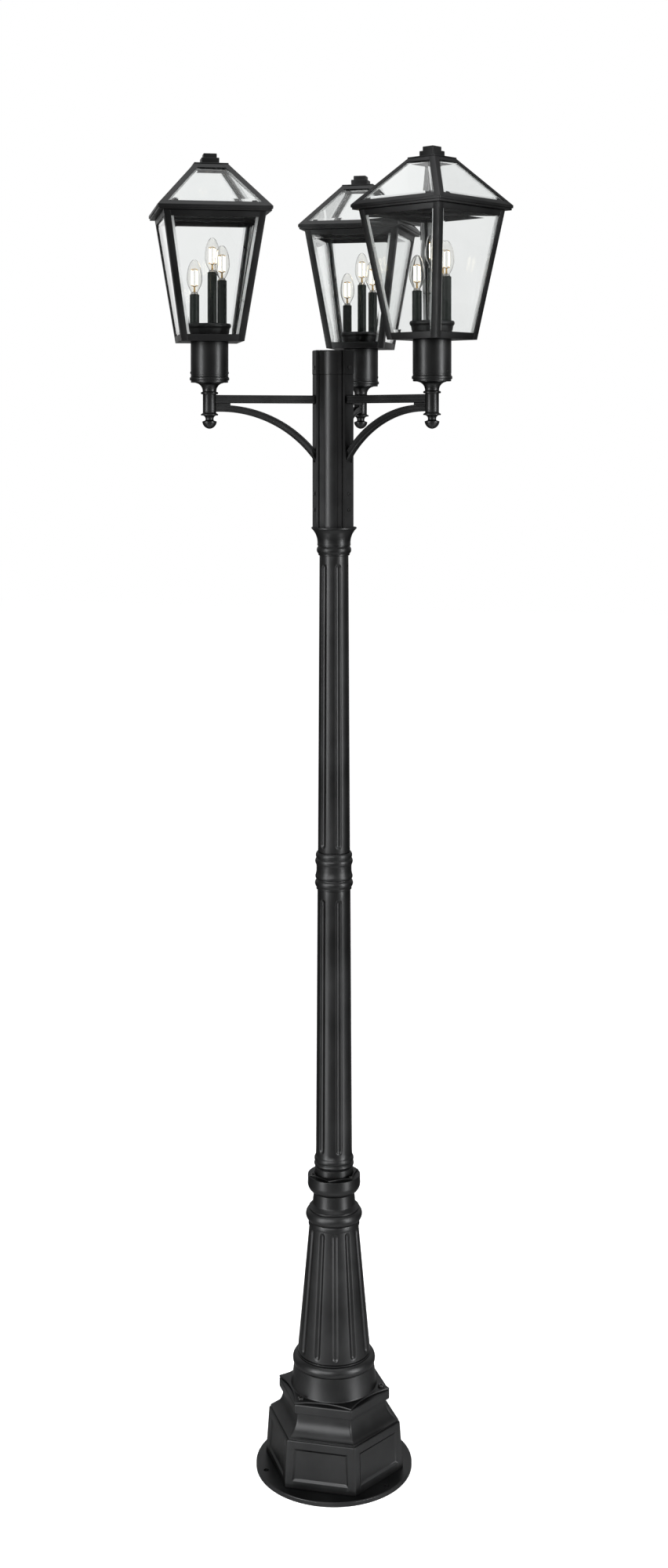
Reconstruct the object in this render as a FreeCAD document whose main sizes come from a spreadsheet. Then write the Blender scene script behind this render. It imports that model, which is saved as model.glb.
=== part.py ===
import FreeCAD, Part
import os
import re

import Sketcher

# Outdoor post light: three glazed lanterns on arms around one fluted post, in millimetres.
# The origin is on the post's axis at the underside of the base plate, with +Z up.
# The arms leave the post at 90, 210 and 330 degrees, counted from +X towards +Y.

SIZES = {
    # Clearances
    "spigot_gap": 0.3,
    "pane_gap": 0.3,
    "saddle_gap": 0.2,
    "screw_gap": 0.3,
    "thread_gap": 0.35,
    # Base plate
    "plate_radius": 178,
    "plate_thickness": 10,
    "plate_edge": 2,
    "anchor_circle": 161,
    "anchor_hole_radius": 6,
    "anchor_count": 3,
    "cable_hole_radius": 30,
    # Hexagonal plinth, measured from its axis to the flats
    "plinth_foot_flat": 140,
    "plinth_shoulder_flat": 133.5,
    "plinth_wall_height": 103,
    "plinth_groove_depth": 4,
    "plinth_groove_height": 3,
    "plinth_lip": 2,
    "plinth_cove_inset": 26,
    "plinth_cove_height": 44,
    "plinth_cove_hollow": 9,
    "plinth_band_flare": 7,
    "plinth_chamfer_height": 6,
    "plinth_band_height": 17,
    "plinth_wall": 6,
    "plinth_top_thickness": 8,
    "plinth_opening_flat": 45,
    "panel_margin": 16.5,
    "panel_border": 5,
    "panel_depth": 3,
    # Bell
    "flange_radius": 130,
    "flange_thickness": 8,
    "flange_dip": 11,
    "flange_screw_circle": 110,
    "drum_foot_radius": 98,
    "drum_top_radius": 91,
    "drum_height": 45,
    "belt_top_radius": 84.5,
    "belt_height": 26,
    "belt_bulge": 6,
    "belt_groove": 2,
    "cone_foot_radius": 83,
    "cone_top_radius": 56.5,
    "cone_height": 287,
    "bell_flute_count": 12,
    "bell_flute_width": 13,
    "bell_flute_depth": 3.5,
    "bell_flute_foot": 26,
    "bell_flute_head": 16,
    "bell_wall": 10,
    "bell_bore_radius": 33,
    "bell_ring_radius": 58.5,
    "bell_ring_height": 11,
    "bell_bead_height": 26,
    "bell_bead_bulge": 6,
    "bell_shoulder_height": 10,
    "neck_foot_radius": 49,
    "neck_top_radius": 46.5,
    "neck_height": 28,
    "ovolo_height": 24,
    "ovolo_bulge": 5,
    "collar_radius": 60,
    "collar_height": 19,
    "collar_dip": 4.5,
    "pole_socket_depth": 14,
    # Poles
    "flute_count": 6,
    "flute_width": 14.5,
    "flute_depth": 4,
    "flute_foot": 12,
    "flute_head": 20,
    "pole_foot_radius": 44,
    "pole_foot_height": 31,
    "pole_bead_height": 24,
    "pole_bead_bulge": 2.5,
    "lower_foot_radius": 41.4,
    "lower_top_radius": 37.9,
    "lower_length": 609,
    "lower_bore_radius": 30,
    "upper_foot_radius": 36.8,
    "upper_top_radius": 33.25,
    "upper_length": 679,
    "upper_bore_radius": 25,
    # Coupling between the poles
    "coupling_radius": 40.4,
    "coupling_ring": 6,
    "coupling_bead_low": 17,
    "coupling_groove": 3,
    "coupling_lip": 2.5,
    "coupling_lip_height": 5,
    "coupling_waist": 27,
    "coupling_hollow": 1.7,
    "coupling_bead_high": 13,
    "coupling_bead_top": 15,
    "coupling_bulge": 3,
    "coupling_top_bulge": 1.2,
    "spigot_length": 40,
    "spigot_bore_radius": 20,
    # Capital
    "capital_ring_radius": 36,
    "capital_ring_height": 4,
    "capital_bead_height": 18,
    "capital_bead_bulge": 3,
    "capital_foot_radius": 38.5,
    "capital_flare_height": 39,
    "capital_flare_hollow": 5,
    "capital_rim_wall": 2.5,
    "capital_rim_height": 4,
    # Arm post and its cap
    "core_radius": 34,
    "pad_reach": 47,
    "pad_width": 30,
    "pad_step_reach": 40,
    "pad_step_width": 36,
    "arm_post_length": 353,
    "arm_post_bore_radius": 23,
    "cap_tenon_radius": 30,
    "cap_tenon_height": 30,
    "cap_height": 56,
    "cap_roof": 10,
    "cap_overhang": 0.5,
    # Screws of the post
    "screw_head_radius": 4.5,
    "screw_head_height": 2,
    "screw_shank_radius": 2.4,
    "screw_shank_length": 12,
    "pad_screw_low": 44,
    "pad_screw_high": 81,
    "cap_screw_height": 16,
    # Arms
    "arm_height": 296,
    "arm_reach": 293,
    "bar_width": 18.6,
    "bar_groove_width": 7,
    "bar_groove_depth": 1.5,
    "bar_bore_radius": 4.5,
    "bar_socket_depth": 3,
    "bar_socket_gap": 1.7,
    "brace_width": 15.4,
    "brace_flat": 27,
    "brace_drop": 105,
    "packer_reach": 47,
    "packer_height": 3.9,
    "packer_sink": 2.7,
    "packer_inset": 1,
    # Hubs and their drop finials
    "hub_drop": 30,
    "hub_radius": 15.15,
    "hub_height": 41,
    "hub_bead_height": 5,
    "hub_bead_bulge": 4,
    "hub_cup_foot_radius": 16.5,
    "hub_cup_radius": 31.5,
    "hub_cup_height": 21,
    "hub_cup_hollow": 5,
    "hub_plate_radius": 42,
    "hub_plate_height": 5,
    "hub_ring_radius": 44.5,
    "hub_ring_height": 7,
    "hub_bore_radius": 8,
    "tenon_radius": 38,
    "tenon_height": 60,
    "drop_tip_height": 16,
    "drop_tip_radius": 2,
    "drop_tip_bulge": 3,
    "drop_acorn_radius": 16.5,
    "drop_shoulder_height": 3,
    "drop_neck_radius": 9.5,
    "drop_neck_height": 12,
    "drop_neck_hollow": 4,
    "drop_rim_radius": 19.5,
    "drop_rim_height": 6,
    "stud_radius": 5,
    "stud_length": 12,
    # Fitters
    "fitter_wall": 4.1,
    "fitter_height": 79,
    "set_screw_radius": 2.5,
    "set_screw_height": 10,
    "set_screw_count": 4,
    "set_screw_proud": 1,
    # Turn of each lantern on its arm, away from square to the arm
    "rear_turn": 0,
    "left_turn": -7,
    "right_turn": 0,
    # Lantern cages, measured from their axis to the outer faces
    "cage_foot_half": 70.5,
    "cage_top_half": 114,
    "cage_height": 284,
    "cage_wall": 2,
    "cage_floor": 3,
    "cage_post_width": 15.5,
    "cage_foot_rail": 15,
    "cage_head_rail": 13,
    "ledge_width": 22,
    "ledge_thickness": 3,
    "ledge_notch": 12,
    "wire_hole_radius": 8,
    # Glass
    "glass_thickness": 3,
    "bevel_width": 18,
    "bevel_depth": 1.6,
    # Roofs and their finials
    "eave_half": 127,
    "eave_height": 11,
    "eave_flange_width": 27,
    "eave_flange_thickness": 3,
    "roof_wall": 2,
    "roof_top_half": 38.75,
    "roof_rise": 101,
    "roof_hip_width": 15.5,
    "roof_foot_rail": 12,
    "roof_head_rail": 12,
    "roof_plate_height": 3,
    "finial_base_half": 20,
    "finial_base_height": 14,
    "finial_cap_half": 15,
    "finial_cap_height": 10,
    # Lamp clusters
    "cluster_radius": 36,
    "cluster_turn": 7,
    "cup_foot_radius": 32,
    "cup_foot_height": 13,
    "cup_waist_radius": 35,
    "cup_flare_height": 12,
    "cup_rim_margin": 2.25,
    "cup_rim_height": 9,
    "cup_edge": 1.5,
    "cup_edge_height": 4,
    "sleeve_radius": 10.75,
    "sleeve_wall": 1.2,
    "sleeve_low": 65,
    "sleeve_mid": 96,
    "sleeve_tall": 119,
    "socket_gap": 0.35,
    "socket_height": 34,
    "socket_sink": 1.5,
    "socket_depth": 22,
    "stem_radius": 5,
    # Bulbs
    "bulb_thread_radius": 6,
    "bulb_collar_radius": 8.3,
    "bulb_collar_height": 6,
    "bulb_neck_radius": 7.8,
    "bulb_radius": 17.5,
    "bulb_belly_height": 28,
    "bulb_belly_bulge": 2.4,
    "bulb_shoulder_radius": 10.5,
    "bulb_shoulder_height": 36,
    "bulb_shoulder_bulge": 2,
    "bulb_tip_height": 45,
    "bulb_tip_bulge": 1.25,
    "bulb_tip_radius": 1.5,
    "bulb_wall": 1,
    "mount_radius": 2,
    "mount_height": 14,
    "filament_half": 0.7,
    "filament_length": 34,
    "filament_spread": 4,
    "filament_plate": 1,
    "filament_count": 4,
}

ARMS = {"rear": "90", "left": "210", "right": "330"}
CANDLES = {"tall": "90", "low": "210", "mid": "330"}
HEX_SIDES = 6
HEX_TURN = 360 / HEX_SIDES
HEX_HALF = HEX_TURN / 2
LANTERN_SIDES = 4
EIGHTH_TURN = 45
H_AXIS = -1
V_AXIS = -2

doc = FreeCAD.newDocument("post_light")
sheet = doc.addObject("Spreadsheet::Sheet", "dims")
for row, (alias, number) in enumerate(SIZES.items(), start=1):
    sheet.set(f"A{row}", alias)
    sheet.set(f"B{row}", str(number))
    sheet.setAlias(f"B{row}", alias)
doc.recompute()

nodes = []


# Expressions of sizes

def bound(expression):
    """An expression with the sheet's name in front of each size."""
    return re.sub(r"[a-z]\w*", lambda word: f"dims.{word[0]}" if word[0] in SIZES else word[0], expression)


def value(expression):
    """The number that an expression comes to."""
    return float(sheet.evalExpression(bound(expression)))


def levels(*heights):
    """The running sums of a column of heights, from its foot up."""
    sums = ["0"]
    for height in heights:
        sums.append(height if sums[-1] == "0" else f"{sums[-1]} + {height}")
    return sums


def turned(x, y, angle):
    """The point (x, y) turned about the origin."""
    return (f"({x}) * cos({angle}) - ({y}) * sin({angle})",
            f"({x}) * sin({angle}) + ({y}) * cos({angle})")


def arc_middle(start, end, bulge):
    """The point halfway along an arc that stands out to the right of its chord by the bulge."""
    run = f"(({end[0]}) - ({start[0]}))"
    climb = f"(({end[1]}) - ({start[1]}))"
    chord = f"sqrt({run}^2 + {climb}^2)"
    return (f"({start[0]}) + {run} / 2 + ({bulge}) * {climb} / {chord}",
            f"({start[1]}) + {climb} / 2 - ({bulge}) * {run} / {chord}")


def square(half):
    """The four corners of a square about the origin."""
    return [(f"-({half})", f"-({half})"), (half, f"-({half})"), (half, half), (f"-({half})", half)]


# Sketches

def vector(point):
    return FreeCAD.Vector(value(point[0]), value(point[1]), 0)


def pin(sketch, geometry, end, point):
    """Ties one point of a sketch to its two expressions."""
    for kind, axis, expression in (("DistanceX", V_AXIS, point[0]), ("DistanceY", H_AXIS, point[1])):
        if expression == "0":
            sketch.addConstraint(Sketcher.Constraint("PointOnObject", geometry, end, axis))
        else:
            index = sketch.addConstraint(Sketcher.Constraint(kind, geometry, end, value(expression)))
            sketch.setExpression(f"Constraints[{index}]", bound(expression))


def draw_outline(sketch, outline, closed=True):
    """Draws sides from point to point; a third entry bows the side that ends there by that much."""
    count = len(outline)
    sides = []
    for index in range(0 if closed else 1, count):
        start = outline[index - 1][:2]
        end = outline[index]
        if len(end) == 2:
            sides.append((sketch.addGeometry(Part.LineSegment(vector(start), vector(end)), False), 1, 2))
            continue
        middle = arc_middle(start, end, end[2])
        clockwise = value(end[2]) < 0
        first, last = (end, start) if clockwise else (start, end)
        arc = sketch.addGeometry(Part.Arc(vector(first), vector(middle), vector(last)), False)
        crown = sketch.addGeometry(Part.Point(vector(middle)), True)
        sketch.addConstraint(Sketcher.Constraint("PointOnObject", crown, 1, arc))
        pin(sketch, crown, 1, middle)
        sides.append((arc, 2, 1) if clockwise else (arc, 1, 2))
    if not closed:
        pin(sketch, sides[0][0], sides[0][1], outline[0])
    for index, (side, _, end) in enumerate(sides):
        if closed or index < len(sides) - 1:
            following, start, _ = sides[(index + 1) % len(sides)]
            sketch.addConstraint(Sketcher.Constraint("Coincident", side, end, following, start))
        pin(sketch, side, end, outline[index if closed else index + 1])
    return sides


def draw_circle(sketch, x, y, radius):
    up = FreeCAD.Vector(0, 0, 1)
    circle = sketch.addGeometry(Part.Circle(vector((x, y)), up, value(radius)), False)
    pin(sketch, circle, 3, (x, y))
    index = sketch.addConstraint(Sketcher.Constraint("Radius", circle, value(radius)))
    sketch.setExpression(f"Constraints[{index}]", bound(radius))


def origin_feature(body, role):
    return next(feature for feature in body.Origin.OriginFeatures if feature.Role == role)


def new_sketch(body, plane, outlines=(), circles=(), shift=("0", "0", "0"), turn=None):
    """A sketch on one of the body's own planes, shifted and turned in that plane's frame."""
    sketch = body.newObject("Sketcher::SketchObject", f"{body.Name}_sketch")
    sketch.AttachmentSupport = [(origin_feature(body, plane), "")]
    sketch.MapMode = "FlatFace"
    if turn:
        axis, angle = turn
        sketch.AttachmentOffset = FreeCAD.Placement(FreeCAD.Vector(), FreeCAD.Rotation(axis, value(angle)))
        sketch.setExpression("AttachmentOffset.Rotation.Angle", bound(angle))
    for coordinate, expression in zip("xyz", shift):
        if expression != "0":
            sketch.setExpression(f"AttachmentOffset.Base.{coordinate}", bound(expression))
    for outline in outlines:
        draw_outline(sketch, outline)
    for circle in circles:
        draw_circle(sketch, *circle)
    return sketch


# Bodies and their features

def new_body(label, is_node=True):
    body = doc.addObject("PartDesign::Body", label)
    body.Label = label
    if is_node:
        nodes.append(body)
    return body


def place(piece, level="0", x="0", y="0", turn="0"):
    """Ties a piece's place and its turn about the vertical to the sheet."""
    for coordinate, expression in (("x", x), ("y", y), ("z", level)):
        piece.setExpression(f"Placement.Base.{coordinate}", bound(expression))
    piece.setExpression("Placement.Rotation.Angle", bound(turn))


def add_feature(body, kind, sketch, **lengths):
    """A feature of the body made from a sketch, with its lengths tied to the sheet."""
    feature = body.newObject(f"PartDesign::{kind}", f"{body.Name}_{kind.lower()}")
    feature.Profile = sketch
    for name, expression in lengths.items():
        feature.setExpression(name, bound(expression))
    return feature


def pad(body, sketch, length, backwards=False):
    feature = add_feature(body, "Pad", sketch, Length=length)
    feature.Reversed = backwards
    return feature


def pocket(body, sketch, length, backwards=False):
    feature = add_feature(body, "Pocket", sketch, Length=length)
    feature.Reversed = backwards
    return feature


def revolve(body, *outlines):
    """Turns outlines of (radius, height) about the body's vertical axis."""
    sketch = new_sketch(body, "XZ_Plane", outlines)
    feature = add_feature(body, "Revolution", sketch)
    feature.ReferenceAxis = (sketch, ["V_Axis"])
    feature.Angle = 360
    return feature


def loft(body, kind, first, last):
    feature = add_feature(body, kind, first)
    feature.Sections = [last]
    feature.Ruled = True
    return feature


def around(body, features, count):
    """Repeats features evenly about the body's vertical axis."""
    pattern = body.newObject("PartDesign::PolarPattern", f"{body.Name}_pattern")
    pattern.Originals = features
    pattern.Axis = (origin_feature(body, "Z_Axis"), [""])
    pattern.Angle = 360
    pattern.setExpression("Occurrences", bound(str(count)))
    body.Tip = pattern
    return pattern


def cut_flutes(body, shaft, flute, count, turn="0"):
    """Cuts round-ended flutes down a tapered shaft.

    The shaft is its foot radius, top radius, foot level and top level. The flute is its width and depth and
    its distances from the shaft's two ends. Each flute is a round rod with ball ends, lying along the taper.
    """
    foot_radius, top_radius, foot, top = shaft
    width, depth, foot_inset, head_inset = flute
    rod = f"(({width})^2 / 4 + ({depth})^2) / (2 * ({depth}))"
    low = f"({foot}) + ({foot_inset}) + ({width}) / 2"
    high = f"({top}) - ({head_inset}) - ({width}) / 2"

    def axis_radius(level):
        taper = f"(({foot_radius}) - ({top_radius})) / (({top}) - ({foot}))"
        return f"({foot_radius}) - {taper} * (({level}) - ({foot})) + {rod} - ({depth})"

    quarter_bulge = f"{rod} * (1 - cos({EIGHTH_TURN}))"
    low_end = f"{low} - {rod}"
    high_end = f"{high} + {rod}"
    outline = [
        (axis_radius(low_end), low_end),
        (f"{axis_radius(low)} - {rod}", low, f"-({quarter_bulge})"),
        (f"{axis_radius(high)} - {rod}", high),
        (axis_radius(high_end), high_end, f"-({quarter_bulge})"),
    ]
    sketch = new_sketch(body, "XZ_Plane", turn=(FreeCAD.Vector(0, 1, 0), turn))
    sides = draw_outline(sketch, outline)
    axis = sketch.addGeometry(Part.LineSegment(vector(outline[0]), vector(outline[3])), True)
    sketch.addConstraint(Sketcher.Constraint("Coincident", axis, 1, sides[0][0], sides[0][2]))
    sketch.addConstraint(Sketcher.Constraint("Coincident", axis, 2, sides[3][0], sides[3][2]))
    groove = add_feature(body, "Groove", sketch)
    groove.ReferenceAxis = (sketch, ["Axis0"])
    groove.Angle = 360
    around(body, [groove], count)


def cut_scallops(body, radius, dip, level, depth, turn):
    """Hollows the six sides between the corners of a disc, each by a round cutter from corner to corner."""
    cutter = f"(({radius})^2 / 4 + ({dip})^2) / (2 * ({dip}))"
    centre = turned(f"({radius}) * cos({HEX_HALF}) - ({dip}) + {cutter}", "0", turn)
    sketch = new_sketch(body, "XY_Plane", circles=[(*centre, cutter)], shift=("0", "0", level))
    around(body, [pocket(body, sketch, depth)], HEX_SIDES)


def screw_group(body, reach, height):
    """One screw pointing at the axis: its head outside the reach, its shank inside."""
    head, shank = [new_sketch(body, "YZ_Plane", circles=[("0", height, radius)], shift=("0", "0", reach))
                   for radius in ("screw_head_radius", "screw_shank_radius")]
    return [pad(body, head, "screw_head_height"), pad(body, shank, "screw_shank_length", True)]


# Base plate: a disc with anchor holes in the arms' directions and a way in for the supply cable

plate = new_body("base_plate")
revolve(plate, [
    ("cable_hole_radius", "0"),
    ("plate_radius", "0"),
    ("plate_radius", "plate_thickness - plate_edge"),
    ("plate_radius - plate_edge", "plate_thickness", f"plate_edge * (1 - cos({EIGHTH_TURN}))"),
    ("cable_hole_radius", "plate_thickness"),
])
anchor_sketch = new_sketch(plate, "XY_Plane", circles=[("0", "anchor_circle", "anchor_hole_radius")])
around(plate, [pocket(plate, anchor_sketch, "plate_thickness", True)], "anchor_count")

# Plinth: its wall carried round a hexagon, with six sunk panels

plinth_level = "plate_thickness"
plinth = new_body("hex_plinth")
_, wall_top, groove_top, cove_top, chamfer_top, plinth_top = levels(
    "plinth_wall_height", "plinth_groove_height", "plinth_cove_height", "plinth_chamfer_height",
    "plinth_band_height")
cove_foot_flat = "plinth_shoulder_flat - plinth_lip"
cove_top_flat = f"{cove_foot_flat} - plinth_cove_inset"
wall_section = new_sketch(plinth, "YZ_Plane", [[
    ("plinth_foot_flat", "0"),
    ("plinth_shoulder_flat", wall_top),
    ("plinth_shoulder_flat - plinth_groove_depth", wall_top),
    ("plinth_shoulder_flat - plinth_groove_depth", groove_top),
    (cove_foot_flat, groove_top),
    (cove_top_flat, cove_top, "-plinth_cove_hollow"),
    (f"{cove_top_flat} + plinth_band_flare", chamfer_top),
    (f"{cove_top_flat} + plinth_band_flare", plinth_top),
    ("plinth_opening_flat", plinth_top),
    ("plinth_opening_flat", f"{plinth_top} - plinth_top_thickness"),
    (f"{cove_top_flat} - plinth_wall", f"{plinth_top} - plinth_top_thickness"),
    (f"{cove_top_flat} - plinth_wall", wall_top),
    ("plinth_foot_flat - plinth_wall", "0"),
]])
hexagon_path = [("0", "plinth_foot_flat")]
hexagon_corner = f"plinth_foot_flat / cos({HEX_HALF})"
hexagon_path += [turned(hexagon_corner, "0", 90 + HEX_HALF + HEX_TURN * side) for side in range(HEX_SIDES)]
path_sketch = new_sketch(plinth, "XY_Plane", [hexagon_path])
casting = add_feature(plinth, "AdditivePipe", wall_section)
casting.Spine = (path_sketch, [f"Edge{side + 1}" for side in range(len(hexagon_path))])
casting.Transition = "Right corner"

draft = "atan((plinth_foot_flat - plinth_shoulder_flat) / plinth_wall_height)"
slant_height = f"plinth_wall_height / cos({draft})"


def panel_sketch(inset, depth):
    """A panel's outline, parallel to the drafted side that faces -Y, at a depth under its face."""
    def half_width(height):
        side = f"(plinth_foot_flat - ({height}) * sin({draft})) * tan({HEX_HALF})"
        return f"{side} - ({inset})"

    low = inset
    high = f"{slant_height} - ({inset})"
    outline = [(f"-({half_width(low)})", low), (half_width(low), low),
               (half_width(high), high), (f"-({half_width(high)})", high)]
    shift = ("0", f"-({depth}) * sin({draft})", f"plinth_foot_flat - ({depth}) * cos({draft})")
    turn = (FreeCAD.Vector(1, 0, 0), f"-({draft})")
    return new_sketch(plinth, "XZ_Plane", [outline], shift=shift, turn=turn)


panel = loft(plinth, "SubtractiveLoft", panel_sketch("panel_margin", "0"),
             panel_sketch("panel_margin + panel_border", "panel_depth"))
around(plinth, [panel], HEX_SIDES)
place(plinth, plinth_level)

# Bell: scalloped foot, drum, belt, fluted cone, beaded neck and scalloped collar, hollow for the wires

bell_level = f"{plinth_level} + {plinth_top}"
bell = new_body("fluted_bell")
(_, flange_top, drum_top, belt_top, cone_foot, cone_top, ring_top, bead_top, neck_foot, neck_top, collar_foot,
 bell_top) = levels(
    "flange_thickness", "drum_height", "belt_height", "belt_groove", "cone_height", "bell_ring_height",
    "bell_bead_height", "bell_shoulder_height", "neck_height", "ovolo_height", "collar_height")
pole_seat = f"{bell_top} - pole_socket_depth"
socket_radius = "pole_foot_radius + spigot_gap"
revolve(bell, [
    ("drum_foot_radius - bell_wall", "0"),
    ("flange_radius", "0"),
    ("flange_radius", flange_top),
    ("drum_foot_radius", flange_top),
    ("drum_top_radius", drum_top),
    ("belt_top_radius", belt_top, "belt_bulge"),
    ("cone_foot_radius", belt_top),
    ("cone_foot_radius", cone_foot),
    ("cone_top_radius", cone_top),
    ("bell_ring_radius", cone_top),
    ("bell_ring_radius", ring_top),
    ("bell_ring_radius", bead_top, "bell_bead_bulge"),
    ("neck_foot_radius", neck_foot),
    ("neck_top_radius", neck_top),
    ("collar_radius", collar_foot, "ovolo_bulge"),
    ("collar_radius", bell_top),
    (socket_radius, bell_top),
    (socket_radius, pole_seat),
    ("bell_bore_radius", pole_seat),
    ("bell_bore_radius", ring_top),
    ("cone_top_radius - bell_wall", cone_top),
    ("cone_foot_radius - bell_wall", cone_foot),
])
cut_flutes(bell, ("cone_foot_radius", "cone_top_radius", cone_foot, cone_top),
           ("bell_flute_width", "bell_flute_depth", "bell_flute_foot", "bell_flute_head"),
           "bell_flute_count", "180 / bell_flute_count")
cut_scallops(bell, "flange_radius", "flange_dip", flange_top, "flange_thickness", HEX_HALF)
cut_scallops(bell, "collar_radius", "collar_dip", bell_top, "collar_height + ovolo_height", "0")
flange_hole = new_sketch(bell, "XY_Plane", circles=[
    ("flange_screw_circle", "0", "screw_shank_radius + screw_gap")], shift=("0", "0", flange_top))
around(bell, [pocket(bell, flange_hole, "flange_thickness")], HEX_SIDES)
place(bell, bell_level)

# Screws through the corners of the bell's foot

flange_screws = new_body("flange_screws")
flange_head, flange_shank = [
    new_sketch(flange_screws, "XY_Plane", circles=[("flange_screw_circle", "0", radius)])
    for radius in ("screw_head_radius", "screw_shank_radius")]
flange_screw = [pad(flange_screws, flange_head, "screw_head_height"),
                pad(flange_screws, flange_shank, "flange_thickness", True)]
around(flange_screws, flange_screw, HEX_SIDES)
place(flange_screws, f"{bell_level} + {flange_top}")

# Poles: tapered tubes with flutes

pole_flute = ("flute_width", "flute_depth", "flute_foot", "flute_head")

lower_level = f"{bell_level} + {pole_seat}"
lower_pole = new_body("lower_pole")
_, foot_top, shaft_foot, lower_top = levels("pole_foot_height", "pole_bead_height", "lower_length")
revolve(lower_pole, [
    ("lower_bore_radius", "0"),
    ("pole_foot_radius", "0"),
    ("pole_foot_radius", foot_top),
    ("lower_foot_radius", shaft_foot, "pole_bead_bulge"),
    ("lower_top_radius", lower_top),
    ("lower_bore_radius", lower_top),
])
cut_flutes(lower_pole, ("lower_foot_radius", "lower_top_radius", shaft_foot, lower_top), pole_flute,
           "flute_count")
place(lower_pole, lower_level)

coupling_level = f"{lower_level} + {lower_top}"
coupling = new_body("pole_coupling")
_, ring_end, low_end, groove_end, lip_end, waist_end, high_end, coupling_top = levels(
    "coupling_ring", "coupling_bead_low", "coupling_groove", "coupling_lip_height", "coupling_waist",
    "coupling_bead_high", "coupling_bead_top")
revolve(coupling, [
    ("spigot_bore_radius", "-spigot_length"),
    ("lower_bore_radius - spigot_gap", "-spigot_length"),
    ("lower_bore_radius - spigot_gap", "0"),
    ("coupling_radius", "0"),
    ("coupling_radius", ring_end),
    ("coupling_radius", low_end, "coupling_bulge"),
    ("coupling_radius", groove_end),
    ("coupling_radius + coupling_lip", lip_end),
    ("coupling_radius", waist_end, "-coupling_hollow"),
    ("coupling_radius", high_end, "coupling_bulge"),
    ("coupling_radius", coupling_top, "coupling_top_bulge"),
    ("upper_bore_radius - spigot_gap", coupling_top),
    ("upper_bore_radius - spigot_gap", f"{coupling_top} + spigot_length"),
    ("spigot_bore_radius", f"{coupling_top} + spigot_length"),
])
place(coupling, coupling_level)

upper_level = f"{coupling_level} + {coupling_top}"
upper_pole = new_body("upper_pole")
revolve(upper_pole, [
    ("upper_bore_radius", "0"),
    ("upper_foot_radius", "0"),
    ("upper_top_radius", "upper_length"),
    ("upper_bore_radius", "upper_length"),
])
cut_flutes(upper_pole, ("upper_foot_radius", "upper_top_radius", "0", "upper_length"), pole_flute,
           "flute_count")
place(upper_pole, upper_level)

# Capital: a flared cup whose floor carries the arm post

capital_level = f"{upper_level} + upper_length"
capital = new_body("pole_capital")
_, ring_end, bead_end, flare_end, capital_top = levels(
    "capital_ring_height", "capital_bead_height", "capital_flare_height", "capital_rim_height")
cup_radius = "sqrt(pad_reach^2 + pad_width^2 / 4) + spigot_gap"
revolve(capital, [
    ("spigot_bore_radius", "-spigot_length"),
    ("upper_bore_radius - spigot_gap", "-spigot_length"),
    ("upper_bore_radius - spigot_gap", "0"),
    ("capital_ring_radius", "0"),
    ("capital_ring_radius", ring_end),
    ("capital_foot_radius", bead_end, "capital_bead_bulge"),
    (f"{cup_radius} + capital_rim_wall", flare_end, "-capital_flare_hollow"),
    (f"{cup_radius} + capital_rim_wall", capital_top),
    (cup_radius, capital_top),
    (cup_radius, flare_end),
    ("spigot_bore_radius", flare_end),
])
place(capital, capital_level)

# Arm post: a round core with a lengthwise pad for each arm, and a cap of the same outline on its tenon

arm_post_level = f"{capital_level} + {flare_end}"
brace_level = "-(bar_width / 2 + packer_height + brace_width / 2)"
bend_start = "arm_reach - brace_flat"
bend_run = f"({bend_start} - pad_reach)"
bend_radius = f"({bend_run}^2 + brace_drop^2) / (2 * brace_drop)"
foot_slope = f"asin({bend_run} / ({bend_radius}))"


def padded_outline(overhang):
    """The arm post's section, all round larger by the overhang."""
    core = f"(core_radius + {overhang})"
    reach = f"(pad_reach + {overhang})"
    half = f"(pad_width / 2 + {overhang})"
    step_reach = f"(pad_step_reach + {overhang})"
    step_half = f"(pad_step_width / 2 + {overhang})"
    root = f"sqrt({core}^2 - {step_half}^2)"
    core_bulge = f"{core} * (1 - cos(60 deg - asin({step_half} / {core})))"
    outline = []
    for angle in ARMS.values():
        outline.append((*turned(root, f"-{step_half}", angle), core_bulge))
        for x, y in ((step_reach, f"-{step_half}"), (step_reach, f"-{half}"), (reach, f"-{half}"),
                     (reach, half), (step_reach, half), (step_reach, step_half), (root, step_half)):
            outline.append(turned(x, y, angle))
    return outline


arm_post = new_body("arm_post")
post_section = new_sketch(arm_post, "XY_Plane", [padded_outline("0")])
pad(arm_post, post_section, "arm_post_length")
tenon_sketch = new_sketch(arm_post, "XY_Plane", circles=[("0", "0", "cap_tenon_radius")],
                          shift=("0", "0", "arm_post_length"))
pad(arm_post, tenon_sketch, "cap_tenon_height")
bore_sketch = new_sketch(arm_post, "XY_Plane", circles=[("0", "0", "arm_post_bore_radius")])
pocket(arm_post, bore_sketch, "arm_post_length + cap_tenon_height", True)
socket_half = "bar_width / 2 + bar_socket_gap"
socket_outline = [(x, f"arm_height + {y}") for x, y in square(socket_half)]
foot_half = "brace_width / 2 + bar_socket_gap"
foot_rise = f"(brace_width / 2 / cos({foot_slope}) + bar_socket_gap)"
foot_middle = f"arm_height + {brace_level} - brace_drop"
foot_top = f"{foot_middle} + {foot_rise}"
foot_low = f"{foot_middle} - {foot_rise} - bar_socket_depth * tan({foot_slope})"
foot_outline = [(f"-({foot_half})", foot_low), (foot_half, foot_low), (foot_half, foot_top),
                (f"-({foot_half})", foot_top)]
arm_sockets = new_sketch(arm_post, "XZ_Plane", [socket_outline, foot_outline], shift=("0", "0", "-pad_reach"))
bar_wire_way = new_sketch(arm_post, "XZ_Plane", circles=[("0", "arm_height", "bar_bore_radius")],
                          shift=("0", "0", "-pad_reach"))
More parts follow.
